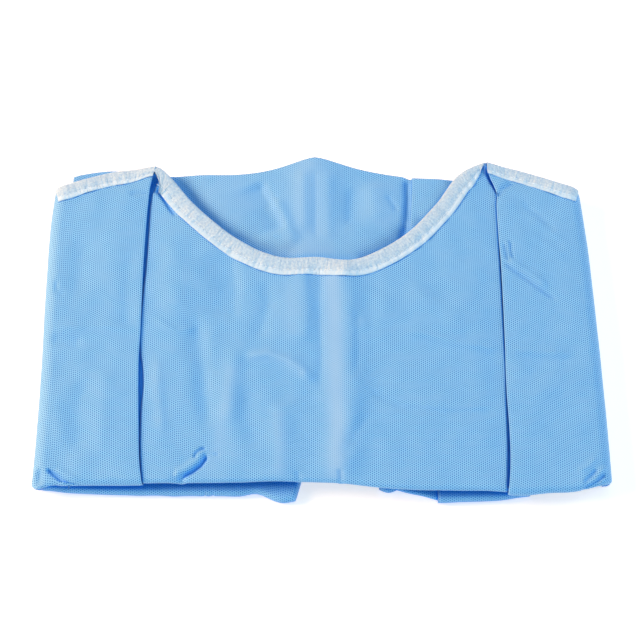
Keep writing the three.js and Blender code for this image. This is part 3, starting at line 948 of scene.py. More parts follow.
@dataclass
class TapeForm:
    """Section and stitch line of the neck binding, and its sewn unevenness."""

    thickness: float = 0.4
    stitch_line: float = 10.3
    stitch_rise: float = 0.50
    pucker_height: float = 0.40
    long_pucker_height: float = 0.24
    section: tuple[tuple[float, float], ...] = (
        (14.2, -0.05), (13.6, 0.22), (12.4, 0.50), (11.3, 0.36), (10.3, -0.04), (9.3, 0.44),
        (7.5, 0.92), (5.0, 1.02), (2.6, 0.92), (1.2, 0.55), (0.6, -0.1), (0.5, -0.8),
        (0.9, -1.6), (2.2, -2.0), (5.0, -2.1), (9.0, -2.1))
    pucker: SoftNoise = field(default_factory=lambda: SoftNoise(21, 7.5))
    long_pucker: SoftNoise = field(default_factory=lambda: SoftNoise(22, 15.0))
    waver: SoftNoise = field(default_factory=lambda: SoftNoise(23, 26.0))

    def across(self, count: int = 40) -> tuple[Array, Array]:
        """Section of the tape, sampled evenly and rounded off.

        Args:
            count: how many places are wanted.

        Returns:
            Distance in from the neck edge, and rise.
        """
        inward, rise = np.array(self.section).T
        run = np.concatenate([[0.0], np.cumsum(np.hypot(np.diff(inward), np.diff(rise)))])
        places = np.linspace(0, run[-1], count)
        rows = [np.interp(places, run, inward), np.interp(places, run, rise)]
        for _ in range(2):
            for row in rows:
                row[1:-1] = row[:-2] / 4 + row[1:-1] / 2 + row[2:] / 4
        return rows[0], rows[1]

    def uneven(self, run: Array, inward: Array) -> Array:
        """Puckers that the stitching draws up.

        Args:
            run: places along the tape.
            inward: places across it.

        Returns:
            The added rise.
        """
        by_stitch = np.exp(-np.abs(inward - self.stitch_line) / 3.5)
        edge = step(inward, 0.8, 3)
        fine = self.pucker.at(run, inward * 0.22)
        slow = self.long_pucker.at(run, inward * 0.15)
        return edge * (self.pucker_height * by_stitch * fine + self.long_pucker_height * slow)


TAPE = TapeForm()


@dataclass
class NeckBinding:
    """One stretch of the binding, laid over an edge line with its stitching."""

    label: str
    outer: Array
    inward: Array
    carried: Array
    rests_on: str
    bulge: Array | float = 0.0

    def build(self, finishes: Finishes) -> bpy.types.Object:
        """Makes the tape and its row of stitches.

        Args:
            finishes: the gown's materials.

        Returns:
            The tape.
        """
        depth, rise = TAPE.across()
        strides = np.hypot(*np.diff(self.outer, axis=0).T)
        run = np.concatenate([[0.0], np.cumsum(strides)])
        share = depth / PACK.tape_width
        xy = self.outer[:, None] + self.inward[:, None] * share[None, :, None]
        xy[..., 0] += np.reshape(self.bulge, (-1, 1)) * np.sin(np.pi * np.clip(share, 0, 1))[None]
        height = rise[None] + TAPE.uneven(run[:, None], depth[None])
        height = np.where(rise[None] > -0.5, height, rise[None]) + self.carried[:, None]
        points = PACK.drape(xy[..., 0], xy[..., 1], height)
        strides = np.linalg.norm(np.diff(points[len(points) // 2], axis=0), axis=1)
        wide = np.concatenate([[0.0], np.cumsum(strides)])
        flat = np.stack(np.broadcast_arrays(run[:, None], wide[None]), -1)
        piece = sheet_object(f"neck_tape_{self.label}", points, flat, TAPE.thickness,
                             finishes.tape)
        declare(piece, (f"neck_binding_{self.label}",))
        seam = self.outer + self.inward * TAPE.stitch_line / PACK.tape_width
        lift = (TAPE.uneven(run, np.full(run.shape, TAPE.stitch_line)) + self.carried
                + TAPE.stitch_rise)
        line = PACK.drape(seam[:, 0], seam[:, 1], lift)
        StitchRow(f"neck_stitches_{self.label}", line[8:-4]).build(
            finishes, (f"neck_binding_{self.label}",))
        return piece


@dataclass(frozen=True)
class ScoopBinding:
    """The binding of the neck scoop, from its mitre at the left to its pinch at the right."""

    mitre: tuple[float, float] = (-125.5, -105.0)
    pinch: tuple[float, float] = (105.0, 122.2)
    peak_left: tuple[tuple[float, float], ...] = (
        (-127, 121.2), (-122, 122.0), (-117, 120.6), (-108, 111.5))
    peak_right: tuple[float, float] = (122, 125.2)
    extra_width: float = 0.6
    narrowing: float = 8.2
    right_limit: float = 118.6
    left_limit: float = -115.6
    left_rise: float = 2.2
    right_rise: float = 1.4
    bulge: float = 3.2

    def lay(self) -> NeckBinding:
        """Lays out the binding.

        Returns:
            The stretch of binding, tapered to its mitre at the left and its pinch at the right.
        """
        start, left = self.mitre
        right, end = self.pinch
        edge = SmoothLine(self.peak_left + PACK.neckline.points[2:-2] + (self.peak_right,))
        x = np.concatenate([np.linspace(start, left, 34), np.linspace(left, right, 300)[1:],
                            np.linspace(right, end, 29)[1:]])
        y = edge.at(x)
        outer = np.stack([x, y], -1)
        slope = (edge.at(x + 1) - edge.at(x - 1)) / 2
        inward = np.stack([slope, -np.ones(x.shape)], -1) / np.hypot(1, slope)[:, None]
        width = PACK.tape_width + self.extra_width - self.narrowing * step(x, 101, 121)
        inner = outer + inward * width[:, None]
        inner[:, 0] = np.minimum(inner[:, 0], self.right_limit + 0.12 * (x - 121.4))
        limit = self.left_limit + 0.10 * (x - left)
        cut = inner[:, 0] < limit
        first = int(np.argmin(cut))
        inner[cut, 0] = limit[cut]
        inner[cut, 1] = inner[first, 1] + (limit[cut] - inner[first, 0]) * -0.9
        rise = (self.left_rise * (1 - step(x, start, -98))
                + self.right_rise * step(x, 115, 121))
        bulge = self.bulge * (1 - step(x, start, -117))
        return NeckBinding("front", outer, inner - outer, rise, "chest_panel", bulge)


@dataclass(frozen=True)
class SideBinding:
    """The binding of a back panel, from its peak to the side roll."""

    panel: BackPanel
    lowered: float
    wide: tuple[float, float]
    widening: float = 26.0
    from_fold: float = 0.7
    lean: float = 2.4
    leaning: float = 14.0
    roll_share: float = 0.9

    def lay(self) -> NeckBinding:
        """Lays out the binding.

        Returns:
            The stretch of binding, narrower and leaning out at its peak.
        """
        panel = self.panel
        inner = float(panel.crease.at(123)) + self.from_fold
        start = float(PACK.side_start(panel.sign, 104))
        rolled = start + np.linspace(0, PACK.side_radius * self.roll_share, 14)
        far = np.concatenate([np.linspace(inner, start, 90), rolled[1:]])
        y = panel.back.at(far) - self.lowered
        slope = (panel.back.at(far + 1) - panel.back.at(far - 1)) / 2
        inward = np.stack([slope * panel.sign, -np.ones(far.shape)], -1)
        inward /= np.hypot(1, slope)[:, None]
        inward *= mix(*self.wide, step(far, inner, inner + self.widening))[:, None]
        inward[:, 0] += self.lean * panel.sign * (1 - step(far, inner, inner + self.leaning))
        outer = np.stack([panel.sign * far, y], -1)
        away = far - panel.crease.at(y)
        return NeckBinding(panel.label, outer, inward, panel.rise(away) + PACK.cloth / 2,
                           f"back_panel_{panel.label}_cloth")


@dataclass
class StitchRow:
    """A row of thread stitches along a line, made by geometry nodes."""

    name: str
    line: Array
    pitch: float = 3.3
    length: float = 3.0
    width: float = 0.5

    def tree(self) -> tuple[bpy.types.NodeTree, dict[str, str]]:
        """Builds the node tree.

        Returns:
            The tree, and the identifier of each named input.
        """
        tree = bpy.data.node_groups.new("stitches", "GeometryNodeTree")
        face = tree.interface
        face.new_socket("Line", in_out="INPUT", socket_type="NodeSocketGeometry")
        names = {}
        for name, kind in (("Pitch", "NodeSocketFloat"), ("Length", "NodeSocketFloat"),
                           ("Width", "NodeSocketFloat"), ("Thread", "NodeSocketMaterial")):
            names[name] = face.new_socket(name, in_out="INPUT", socket_type=kind).identifier
        face.new_socket("Stitches", in_out="OUTPUT", socket_type="NodeSocketGeometry")
        given = node(tree, "NodeGroupInput")
        curve = node(tree, "GeometryNodeMeshToCurve")
        points = node(tree, "GeometryNodeCurveToPoints", mode="LENGTH")
        turned = node(tree, "FunctionNodeAlignRotationToVector", axis="X")
        thread = node(tree, "GeometryNodeMeshUVSphere", {"Segments": 6, "Rings": 5, "Radius": 0.5})
        size = node(tree, "ShaderNodeCombineXYZ")
        wobble = node(tree, "FunctionNodeRandomValue", {2: 0.85, 3: 1.12, "Seed": 5})
        long = node(tree, "ShaderNodeMath", operation="MULTIPLY")
        placed = node(tree, "GeometryNodeInstanceOnPoints")
        real = node(tree, "GeometryNodeRealizeInstances")
        smooth = node(tree, "GeometryNodeSetShadeSmooth")
        dressed = node(tree, "GeometryNodeSetMaterial")
        out = node(tree, "NodeGroupOutput")
        for source, target in (
                (given.outputs["Line"], curve.inputs[0]),
                (curve.outputs[0], points.inputs["Curve"]),
                (given.outputs["Pitch"], points.inputs["Length"]),
                (points.outputs["Tangent"], turned.inputs["Vector"]),
                (points.outputs["Points"], placed.inputs["Points"]),
                (thread.outputs["Mesh"], placed.inputs["Instance"]),
                (turned.outputs[0], placed.inputs["Rotation"]),
                (given.outputs["Length"], long.inputs[0]),
                (wobble.outputs[1], long.inputs[1]),
                (long.outputs[0], size.inputs["X"]),
                (given.outputs["Width"], size.inputs["Y"]),
                (given.outputs["Width"], size.inputs["Z"]),
                (size.outputs[0], placed.inputs["Scale"]),
                (placed.outputs[0], real.inputs[0]),
                (real.outputs[0], smooth.inputs[0]),
                (smooth.outputs[0], dressed.inputs[0]),
                (given.outputs["Thread"], dressed.inputs["Material"]),
                (dressed.outputs[0], out.inputs[0])):
            tree.links.new(source, target)
        return tree, names

    def build(self, finishes: Finishes, nodes: tuple[str, ...]) -> bpy.types.Object:
        """Makes the stitches as one plain mesh.

        Args:
            finishes: the gown's materials.
            nodes: the CAD nodes they belong to.

        Returns:
            The row of stitches.
        """
        path = bpy.data.meshes.new(f"{self.name}_path")
        vertices = (self.line + SHIFT) * MM
        path.from_pydata(vertices.tolist(), [(i, i + 1) for i in range(len(vertices) - 1)], [])
        guide = bpy.data.objects.new(f"{self.name}_path", path)
        bpy.context.scene.collection.objects.link(guide)
        tree, names = self.tree()
        maker = guide.modifiers.new("stitches", "NODES")
        maker.node_group = tree
        maker[names["Pitch"]] = self.pitch * MM
        maker[names["Length"]] = self.length * MM
        maker[names["Width"]] = self.width * MM
        maker[names["Thread"]] = finishes.thread
        graph = bpy.context.evaluated_depsgraph_get()
        mesh = bpy.data.meshes.new_from_object(guide.evaluated_get(graph), depsgraph=graph)
        bpy.data.objects.remove(guide)
        piece = bpy.data.objects.new(self.name, mesh)
        bpy.context.scene.collection.objects.link(piece)
        declare(piece, nodes)
        return piece


# ---- Skirt behind the scoop ---------------------------------------------------------------------


@dataclass
class Skirt:
    """The skirt folded up behind the neck: a wide layer, and a right part laid over it."""

    thickness: float = 0.5
    top: float = 15.0
    front: float = 30.0
    pleat: float = 1.3
    bump_height: float = 6.0
    bump_reach: float = 12.5
    bend: float = 2.0
    least: float = 10.9
    turned: float = 24.0
    under_gap: float = 1.3
    back: SmoothLine = SmoothLine((
        (-183.5, 118.6), (-177, 120.8), (-157, 123.8), (-140, 123), (-120, 120.4),
        (-88, 119), (-55, 117.9), (0, 118), (60, 116.2), (67, 114.9), (96, 114.2), (115, 112),
        (150, 107), (179, 98)))
    uneven: SoftNoise = field(default_factory=lambda: SoftNoise(31, 38.0))
    creases: tuple[Crease, ...] = (
        # the hollow beside the neck edge, deep at the left
        Crease(((-124, 124), (-92, 90), (-62, 62), (-31, 48), (-10, 46)), 12, 14, -4.0, 16),
        Crease(((-68, 66), (-48, 55), (-28, 48)), 7, 9, -1.6, 8),
        Crease(((28, 42), (46, 51), (60, 62), (70, 74)), 10, 9, -3.4, 9),
        Crease(((74, 78), (88, 94), (98, 110)), 8, 8, 1.6, 6),
        # folds that run up from the neck edge
        Crease(((-46, 113), (-41, 101), (-33, 86), (-26, 70)), 3.5, 15, -3.2, 8),
        Crease(((-34, 98), (-28, 84), (-22, 70), (-18, 58)), 5, 5, 2.0, 8),
        Crease(((-12, 124), (-12, 100), (-11, 66)), 4, 6, 1.5, 12),
        Crease(((-3.5, 124), (-3, 100), (-3, 60)), 1.4, 1.6, -0.7, 12),
        Crease(((6, 122), (6, 96), (6, 60)), 6, 4.5, 1.4, 12),
        Crease(((24, 110), (23, 92), (22, 70)), 9, 5, -2.0, 12),
        Crease(((38, 114), (41, 92), (43, 74)), 13, 8, 2.0, 12),
        Crease(((49, 100), (54, 93), (57, 86)), 1.4, 2.0, -1.2, 3),
        Crease(((65.2, 115), (65, 96), (63.4, 76), (62, 62)), 1.3, 3.4, -3.0, 5),
    )
    # painted highlight patches, on the skirt's slopes that face the light
    painted_highlight: tuple[Crease, ...] = (
        Crease(((-9, 130), (-9, 90), (-8, 50)), 22, 18, 0.62, 4),
        Crease(((40, 116), (44, 92), (50, 70)), 16, 14, 0.42, 10),
        Crease(((-80, 118), (-60, 100), (-46, 84)), 16, 16, 0.42, 10),
    )

    def bump_across(self, x: Array) -> Array:
        """How much of the raised middle is at a place across the skirt."""
        return np.exp(-((np.abs(x + 4) / np.where(x < -4, 30, 35)) ** 1.5))

    def face(self, x: Array, y: Array) -> Array:
        """Height of the skirt's upper face.

        Args:
            x: places across.
            y: places along.

        Returns:
            The height at each place.
        """
        sink = 1.4 * step(np.abs(x), 80, 105) + 1.8 * step(np.abs(x), 106, 114)
        height = (self.top - sink + self.bump_height * self.bump_across(x) * step(y, 60, 126)
                  + creased(self.creases, x, y) + 0.22 * self.uneven.at(x, y))
        return np.maximum(height, self.least)

    def back_line(self, x: Array) -> Array:
        """Back fold line of the skirt."""
        return self.back.at(x) + self.bump_reach * self.bump_across(x)

    def build(self, finishes: Finishes) -> tuple[bpy.types.Object, bpy.types.Object]:
        """Makes both layers.

        Args:
            finishes: the gown's materials.

        Returns:
            The wide layer and the right part.
        """
        return self.wide_layer(finishes), self.right_part(finishes)

    def wide_layer(self, finishes: Finishes) -> bpy.types.Object:
        """Makes the wide layer, from under the chest panel to its back fold and under again.

        Args:
            finishes: the gown's materials.

        Returns:
            The wide layer.
        """
        x = np.linspace(-182.5, 84, 150)[:, None]
        back = self.back_line(x) - 0.7 * step(x, 60, 66) - self.pleat - PACK.cloth / 2
        over_y = mix(self.front, back, np.linspace(0, 1, 56)[None])
        over_z = self.face(x, over_y) - PACK.cloth / 2
        angle = np.linspace(0, np.pi, 13)[None, 1:]
        at_back = self.face(x, back) - PACK.cloth / 2
        turn_y = back + self.pleat * np.sin(angle)
        turn_z = at_back - self.pleat * (1 - np.cos(angle))
        run = np.linspace(0, self.turned, 12)[None, 1:]
        under_z = at_back - 2 * self.pleat - run / self.turned * (at_back - self.top) * 0.9
        over = self.face(x, back - run) - PACK.cloth / 2
        under_z = np.minimum(under_z, over - self.under_gap)
        y = np.concatenate([over_y, turn_y, back - run], 1)
        z = np.concatenate([over_z, turn_z, under_z], 1)
        return self.finish("skirt_behind", "skirt_fold", x, y, z, finishes)

    def right_part(self, finishes: Finishes) -> bpy.types.Object:
        """Makes the right part, turned under along its upright edge and bent down behind.

        Args:
            finishes: the gown's materials.

        Returns:
            The right part.
        """
        low, high = 0.0, 0.95
        radius = (high - low) / 2
        under = [(out, low) for out in np.linspace(9, radius, 6)]
        turned = [(radius - radius * math.cos(a), (low + high) / 2 + radius * math.sin(a))
                  for a in np.linspace(-math.pi / 2, math.pi / 2, 9)[1:-1]]
        over = [(out, high) for out in np.linspace(radius, 8, 7)]
        out, lift = np.array(under + turned + over).T[:, :, None]
        share = np.linspace(0, 1, 60)[1:, None]
        out = np.concatenate([out, np.full(share.shape, 8.0)])
        lift = np.concatenate([lift, np.full(share.shape, high)])
        share = np.concatenate([np.zeros((len(out) - len(share), 1)), share])

        def place(y: Array) -> Array:
            """Finds each column's place.

            Args:
                y: levels along the pack.

            Returns:
                Each column's place across, at each level.
            """
            edge = mix(65.0, 68.0, step(y, 60, 115))
            return edge + out + share * (178 - edge - 8)

        level = np.full(out.shape, 115.0)
        back = self.back_line(place(level)) - self.bend - PACK.cloth / 2
        over_y = mix(self.front, back, np.linspace(0, 1, 52)[None])
        x = place(over_y)
        over_z = self.face(x, over_y) + lift
        x_back = x[:, -1:]
        at_back = over_z[:, -1:]
        angle = np.linspace(0, np.pi / 2, 7)[None, 1:]
        turn_y = back + self.bend * np.sin(angle)
        turn_z = at_back - self.bend * (1 - np.cos(angle))
        y = np.concatenate([over_y, turn_y, back + self.bend + 0 * out], 1)
        z = np.concatenate([over_z, turn_z, at_back - self.bend - 3], 1)
        x = np.concatenate([x, np.broadcast_to(x_back, (len(x), 7))], 1)
        return self.finish("skirt_right_part", "skirt_fold_right", x, y, z, finishes)

    def finish(self, name: str, stands_for: str, x: Array, y: Array, z: Array,
               finishes: Finishes) -> bpy.types.Object:
        """Makes a layer of the skirt from its points.

        Args:
            name: the piece's name.
            stands_for: the CAD node it replaces.
            x: places across.
            y: places along.
            z: heights.
            finishes: the gown's materials.

        Returns:
            The piece.
        """
        points = np.stack(np.broadcast_arrays(x, y, z), -1)
        flat = flat_lengths(points)
        piece = sheet_object(name, points, flat, self.thickness, finishes.cloth,
                             creased(self.painted_highlight, points[..., 0], points[..., 1]))
        declare(piece, (stands_for,))
        return piece


def lengthways(points: Array, fixed: int, level: Array) -> Array:
    """Measures each column of a grid from a fixed place, so that the cloth's grain stays straight.

    Args:
        points: columns of points.
        fixed: which point of each column is at the fixed place.
        level: that place's own flat coordinate, for each column.

    Returns:
        Each point's coordinate along the flat cloth.
    """
    strides = np.linalg.norm(np.diff(points, axis=1), axis=2)
    run = np.concatenate([np.zeros((len(points), 1)), np.cumsum(strides, 1)], 1)
    return level[:, None] + run[:, fixed:fixed + 1] - run


def flat_lengths(points: Array) -> Array:
    """Measures a grid of points along its rows and columns.

    Args:
        points: rows of points.

    Returns:
        Each point's place on the flat cloth, in the same unit.
    """
    middle_row = points[:, points.shape[1] // 3]
    across = np.concatenate([[0.0], np.cumsum(np.linalg.norm(np.diff(middle_row, axis=0), axis=1))])
    strides = np.linalg.norm(np.diff(points, axis=1), axis=2)
    along = np.concatenate([np.zeros((len(points), 1)), np.cumsum(strides, 1)], 1)
    return np.stack([np.broadcast_to(across[:, None], along.shape), -along], -1)


# ---- Strips under the front fold ----------------------------------------------------------------


@dataclass
class Strip:
    """A folded strip of sleeve or skirt that shows below the front fold."""

    name: str
    stands_for: str
    nose: SmoothLine
    span: tuple[float, float]
    height: float
    seams: tuple[float, ...] = ()
    depth: float = 20.0
    thickness: float = 0.5
    closing: float = 3.0
    lean: float = 0.0
    column: float = 0.45
    above_floor: float = 0.35
    end_share: float = 0.12
    seam_depth: float = 0.6
    seam_width: float = 0.9
    wave: float = 0.25
    uneven: SoftNoise = field(default_factory=lambda: SoftNoise(41, 17.0))

    def build(self, finishes: Finishes) -> bpy.types.Object:
        """Makes the strip, a flat hairpin closed softly at both ends.

        Args:
            finishes: the gown's materials.

        Returns:
            The strip.
        """
        start, end = self.span
        x = np.linspace(start, end, max(12, round((end - start) / self.column)))[:, None]
        full = (self.height - PACK.cloth) / 2
        from_end = np.minimum(x - start, end - x)
        close = np.sqrt(1 - (1 - np.clip(from_end / self.closing, 0.02, 1)) ** 2)
        half = full * mix(self.end_share, 1.0, close)
        nose = self.nose.at(x) + PACK.cloth / 2 + (1 - close) * 0.8
        axis = nose + full * 0.9
        angle = np.linspace(0, np.pi, 25)[None]
        middle = self.above_floor + self.height / 2 - (full - half) * 0.8
        turn_y = axis - full * 0.9 * np.sin(angle)
        turn_z = middle + half * np.cos(angle)
        inner = np.linspace(self.depth - full, 0.8, 14)[None]
        wave = self.wave * self.uneven.at(x, turn_y)
        upper = axis + inner
        y = np.concatenate([upper, turn_y, upper[:, ::-1]], 1)
        z = np.concatenate([
            np.broadcast_to(middle + half, upper.shape), turn_z,
            np.broadcast_to(middle - half, upper.shape)], 1)
        bulge = np.concatenate([np.full(upper.shape, 0.0), np.sin(angle) * wave,
                                np.full(upper.shape, 0.0)], 1)
        for seam in self.seams:
            bulge = bulge + self.seam_depth * np.exp(-(((x - seam) / self.seam_width) ** 2))
        y = y + np.where(np.abs(z - middle) < half * 0.98, bulge, 0)
        x = x + self.lean * (y - nose) * step(x, end - 14, end)
        points = np.stack(np.broadcast_arrays(x, y, z), -1)
        flat = flat_lengths(points)
        piece = sheet_object(self.name, points, flat, self.thickness, finishes.cloth)
        declare(piece, (self.stands_for,))
        return piece


# ---- Hidden layers ------------------------------------------------------------------------------


@dataclass
class HiddenLayers:
    """The rest of the gown, folded to and fro in one length under the layers that show."""

    layers: int = 6
    thickness: float = 0.5
    core_front: float = 16.0
    core_back: float = 9.4
    front: tuple[float, ...] = (-104.0, -104.0, -104.0, -104.0, -92.0, -92.0)
    back: float = 110.0
    waver: float = 0.9
    uneven: SoftNoise = field(default_factory=lambda: SoftNoise(51, 60.0))

    def sides(self, y: Array, w: float) -> tuple[Array, Array]:
        """Left and right side of a layer.

        Args:
            y: places along.
            w: the layer's share of the pack's height.

        Returns:
            The two sides at each place, drawn in at the rounded corners.
        """
        side = 3.6 + 12 * max(0.0, 0.28 - w) / 0.28 + 9 * float(step(w, 0.6, 1)) ** 2
        left = np.full(np.shape(y), -192.5 + side)
        right = np.full(np.shape(y), 192 - side)
        for radius, away, which in ((14, y + 107.5, 2), (8, 114 - y, 0), (30, 114 - y, 1)):
            near = np.clip(away, 0, radius)
            drawn = radius - np.sqrt(radius**2 - (radius - near) ** 2)
            left = left + (drawn if which in (0, 2) else 0)
            right = right - (drawn if which in (1, 2) else 0)
        return left, right

    def build(self, finishes: Finishes) -> bpy.types.Object:
        """Makes the layers.

        Args:
            finishes: the gown's materials.

        Returns:
            The folded length of cloth.
        """
        levels, heights, shares = [], [], []
        for k in range(self.layers):
            w = (k + 0.5) / self.layers
            front = self.front[k]
            y = np.concatenate([np.linspace(front, -4, 18), np.linspace(0, 28, 8),
                                np.linspace(34, self.back, 14)])
            half = 0.5 / self.layers
            place = w + np.zeros(y.shape)
            angle = np.linspace(-np.pi / 2, np.pi / 2, 9)[1:-1]
            turn_w = w + half * (1 + np.sin(angle))
            if k % 2:
                y, place = y[::-1], place[::-1]
                turn_y = front - 1.2 * np.cos(angle)
            else:
                turn_y = self.back + 1.6 * np.cos(angle)
            if k == self.layers - 1:
                turn_y, turn_w = turn_y[:0], turn_w[:0]
            levels.append(np.concatenate([y, turn_y]))
            shares.append(np.concatenate([place, turn_w]))
        y, w = np.concatenate(levels), np.concatenate(shares)
        top = mix(self.core_front, self.core_back, step(y, 0, 24))
        u = np.linspace(0, 1, 96)[:, None]
        left, right = np.array([self.sides(np.array(a), float(b)) for a, b in zip(y, w)]).T
        x = mix(left[None], right[None], u)
        waver = self.waver * self.uneven.at(x, 40 * w[None]) * step(np.abs(y), 100, 112)[None]
        points = np.stack(np.broadcast_arrays(x, y[None] + waver, (w * top)[None]), -1)
        flat = flat_lengths(points)
        piece = sheet_object("folded_layers_cloth", points, flat, self.thickness, finishes.cloth)
        declare(piece, ("folded_layers",))
        return piece


# ---- Camera, lights and floor -------------------------------------------------------------------


@dataclass(frozen=True)
class SoftLight:
    """A square soft light: where it stands in metres, its side in metres and its power in watts."""

    name: str
    place: tuple[float, float, float]
    size: float
    power: float
    colour: tuple[float, float, float]

    def build(self) -> None:
        """Makes the light, facing the pack."""
        data = bpy.data.lights.new(self.name, "AREA")
        data.size = self.size
        data.energy = self.power
        data.color = self.colour
        light = bpy.data.objects.new(self.name, data)
        light.location = self.place
        light.rotation_euler = (-Vector(self.place)).to_track_quat("-Z", "Y").to_euler()
        bpy.context.scene.collection.objects.link(light)


@dataclass
class Studio:
    """A pale floor, soft lights and the camera."""

    elevation: float = 65.0
    distance: float = 1.0
    target: tuple[float, float, float] = (0.0, -0.0025, 0.02)
    lens: float = 80.36
    sensor: float = 36.0
    floor_half: float = 6.0
    floor_colour: tuple[float, float, float] = (0.78, 0.66, 0.60)
    floor_glow: tuple[float, float, float] = (1.0, 0.92, 0.88)
    floor_glow_strength: float = 0.64
    surroundings: tuple[float, float, float] = (0.10, 0.21, 0.30)
    lights: tuple[SoftLight, ...] = (
        SoftLight("key", (-2.6, 0.35, 1.5), 1.3, 121.0, (1.0, 0.73, 0.48)),
        SoftLight("overhead", (0.2, 0.7, 2.5), 2.2, 21.5, (0.60, 0.84, 1.0)),
        SoftLight("front", (0.3, -2.6, 0.9), 1.6, 26.0, (0.14, 0.72, 1.0)),
        SoftLight("rim", (2.5, 0.5, 1.1), 1.2, 38.0, (0.64, 0.76, 0.83)),
    )

    def build(self) -> None:
        """Sets up the camera, the floor, the lights and the surroundings."""
        self.camera()
        self.floor()
        for light in self.lights:
            light.build()
        world = bpy.data.worlds.new("surroundings")
        world.use_nodes = True
        world.node_tree.nodes["Background"].inputs[0].default_value = (*self.surroundings, 1.0)
        world.node_tree.nodes["Background"].inputs[1].default_value = 1.0
        bpy.context.scene.world = world
        bpy.context.scene.view_settings.view_transform = "Standard"
        bpy.context.scene.view_settings.look = "None"

    def camera(self) -> None:
        """Makes the camera, looking down at the pack from its front."""
        data = bpy.data.cameras.new("camera")
        data.lens = self.lens
        data.sensor_width = self.sensor
        camera = bpy.data.objects.new("camera", data)
        e = math.radians(self.elevation)
        back = Vector((0.0, -math.cos(e), math.sin(e)))
        camera.location = Vector(self.target) + back * self.distance
        camera.rotation_euler = (-back).to_track_quat("-Z", "Y").to_euler()
        bpy.context.scene.collection.objects.link(camera)
        bpy.context.scene.camera = camera

    def floor(self) -> None:
        """Makes the pale floor."""
        half = self.floor_half
        mesh = bpy.data.meshes.new("floor")
        mesh.from_pydata([(-half, -half, 0), (half, -half, 0), (half, half, 0), (-half, half, 0)],
                         [], [(0, 1, 2, 3)])
        material = bpy.data.materials.new("pale_floor")
        material.use_nodes = True
        shader = material.node_tree.nodes["Principled BSDF"]
        shader.inputs["Base Color"].default_value = (*self.floor_colour, 1.0)
        shader.inputs["Roughness"].default_value = 0.9
        shader.inputs["Specular IOR Level"].default_value = 0.1
        shader.inputs["Emission Color"].default_value = (*self.floor_glow, 1.0)
        shader.inputs["Emission Strength"].default_value = self.floor_glow_strength
        mesh.materials.append(material)
        floor = bpy.data.objects.new("floor", mesh)
        bpy.context.scene.collection.objects.link(floor)


def front_strips() -> list[Strip]:
    """Lists the strips that show below the front fold.

    Returns:
        The four strips, from left to right.
    """
    sleeve_left = SmoothLine((
        (-188, -123.2), (-150, -125.8), (-54, -127), (-42, -125.8), (-26, -131.8), (-17, -131)))
    sleeve_right = SmoothLine(((79, -131.8), (121, -130), (142, -127)))
    return [
        Strip("sleeve_left_strip", "sleeve_left", sleeve_left, (-187.5, -16.5), 8.35,
              (-77.5, -72), lean=0.28),
        Strip("skirt_tuck_strip", "skirt_tuck", SmoothLine(((40, -122.5), (46, -124.5),
                                                             (52, -123))), (40, 52), 6.85),
        Strip("skirt_edge_strip", "skirt_edge_right", SmoothLine(((50, -122), (80, -129.6))),
              (50, 80.5), 5.35),
        Strip("sleeve_right_strip", "sleeve_right", sleeve_right, (79.5, 142), 8.35,
              closing=1.6),
    ]


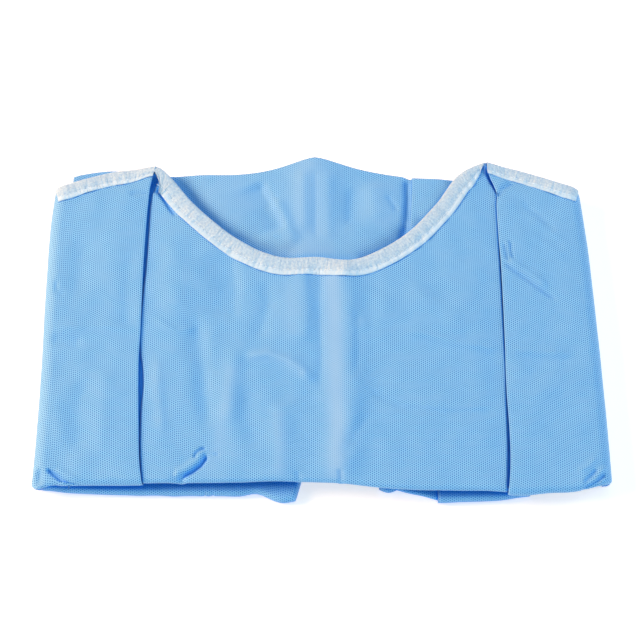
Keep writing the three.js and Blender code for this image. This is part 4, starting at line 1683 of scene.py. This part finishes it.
def back_panels() -> tuple[BackPanel, BackPanel]:
    """Lists the back panels, with the creases of each.

    Returns:
        The left panel and the right panel.
    """
    left = BackPanel(-1, "left", PACK.crease_left, PACK.back_left, (
        # the corner's tuck, and the cloth drawn down beside it
        Crease(((-183, -112), (-179, -114.6), (-172, -118.6), (-166, -120.8), (-158, -122.6)),
               1.1, 1.3, -2.9, 3),
        Crease(((-192, -114), (-184, -119.5), (-172, -125)), 4, 6, -3.2, 4),
        Crease(((-177, -112), (-168, -117), (-158, -123)), 2.2, 1.6, 0.8, 4),
        # the turned neck edge and the seam below it
        Crease(((-139, 98.5), (-131, 99.5), (-124, 99)), 1.1, 1.1, -1.1, 3),
        Crease(((-146, 102), (-137, 95), (-128, 92)), 2.5, 3, 0.5, 5),
        Crease(((-190, -16), (-176, -18), (-163, -20)), 4, 5, -1.4, 7),
        Crease(((-188, -8), (-150, -8), (-126, -10)), 2.6, 3, 0.8, 12),
        Crease(((-187, 30), (-186, 20), (-179, 16)), 1.5, 1.8, -0.9, 4),
        Crease(((-148, 80), (-151, 40), (-146, 0)), 9, 9, 0.9, 20),
        Crease(((-172, 70), (-170, 40), (-172, 10)), 7, 7, -0.8, 20),
        Crease(((-162, -44), (-165, -75), (-162, -105)), 6, 6, -0.9, 14),
        Crease(((-147, -38), (-149, -75), (-146, -112)), 6, 7, 0.8, 14),
        Crease(((-134, 60), (-136, 20), (-133, -20)), 5, 5, -0.7, 20),
        Crease(((-180, -50), (-177, -80), (-174, -100)), 6, 6, 0.8, 16),
    ), 0.9, (190.0, 7.0, 3.0))
    right = BackPanel(1, "right", PACK.crease_right, PACK.back_right, (
        # a small facet where the fold's end is drawn up to the neck
        Crease(((129.5, 97), (133, 101.5), (137, 105.5), (142, 108)), 1.2, 1.2, -1.5, 2),
        Crease(((128, 107), (133, 109), (138, 111)), 3, 3, 0.8, 3),
        Crease(((130, 43), (138, 36), (148, 28), (160, 17.6), (168, 12)), 1.6, 1.3, -1.5, 6),
        Crease(((133, 46), (142, 39), (153, 30), (162, 22)), 2.4, 2.4, 0.9, 6),
        Crease(((132.5, 58), (133.5, 50), (134.1, 42.5)), 1.1, 1.2, -1.3, 3),
        Crease(((137, 61), (136.2, 52), (138, 44)), 1.1, 1.2, -1.3, 3),
        Crease(((134.6, 60), (135.2, 51), (136, 44)), 1.1, 1.1, 0.8, 3),
        Crease(((146, 92), (158, 82), (172, 66)), 2.4, 3, -0.9, 8),
        Crease(((150, 66), (164, 56), (176, 44)), 4, 4, 0.8, 8),
        Crease(((150, 80), (168, 66), (182, 46)), 5, 5, 0.7, 10),
        Crease(((130, -25), (156, -28), (178, -28)), 2.0, 2.4, 0.95, 10),
        Crease(((130, -30), (156, -33), (178, -33)), 2.2, 2.6, -0.5, 10),
        Crease(((134, -66), (150, -60), (176, -40)), 8, 8, 0.9, 20),
        Crease(((140, -84), (160, -78), (180, -64)), 7, 7, -0.8, 20),
        # short wrinkles at the corner
        Crease(((174, -126), (178, -122.5), (184, -120), (191.5, -115.5)), 1.2, 1.2, -1.9, 2.5),
        Crease(((175, -120.5), (180.6, -116.8), (186, -112.5)), 1.1, 1.3, -1.4, 2.5),
        Crease(((172, -115), (179, -111), (186, -104)), 2.2, 2.6, 1.0, 4),
        Crease(((182, -119), (187, -115), (192, -110)), 1.6, 1.4, 0.8, 3),
    ), 0.0, (172.0, 17.0, 2.6))
    return left, right


def main() -> None:
    """Builds the gown, piece by piece, and sets the scene."""
    logging.basicConfig(level=logging.INFO, format="%(name)s: %(message)s")
    finishes = Finishes()
    Studio().build()
    HiddenLayers().build(finishes)
    Skirt().build(finishes)
    for strip in front_strips():
        strip.build(finishes)
    ChestPanel().build(finishes)
    left, right = back_panels()
    left.build(finishes)
    right.build(finishes)
    ScoopBinding().lay().build(finishes)
    SideBinding(left, 1.0, (8.5, 13.5)).lay().build(finishes)
    SideBinding(right, 0.4, (10.0, 12.0)).lay().build(finishes)


if __name__ == "__main__":
    main()
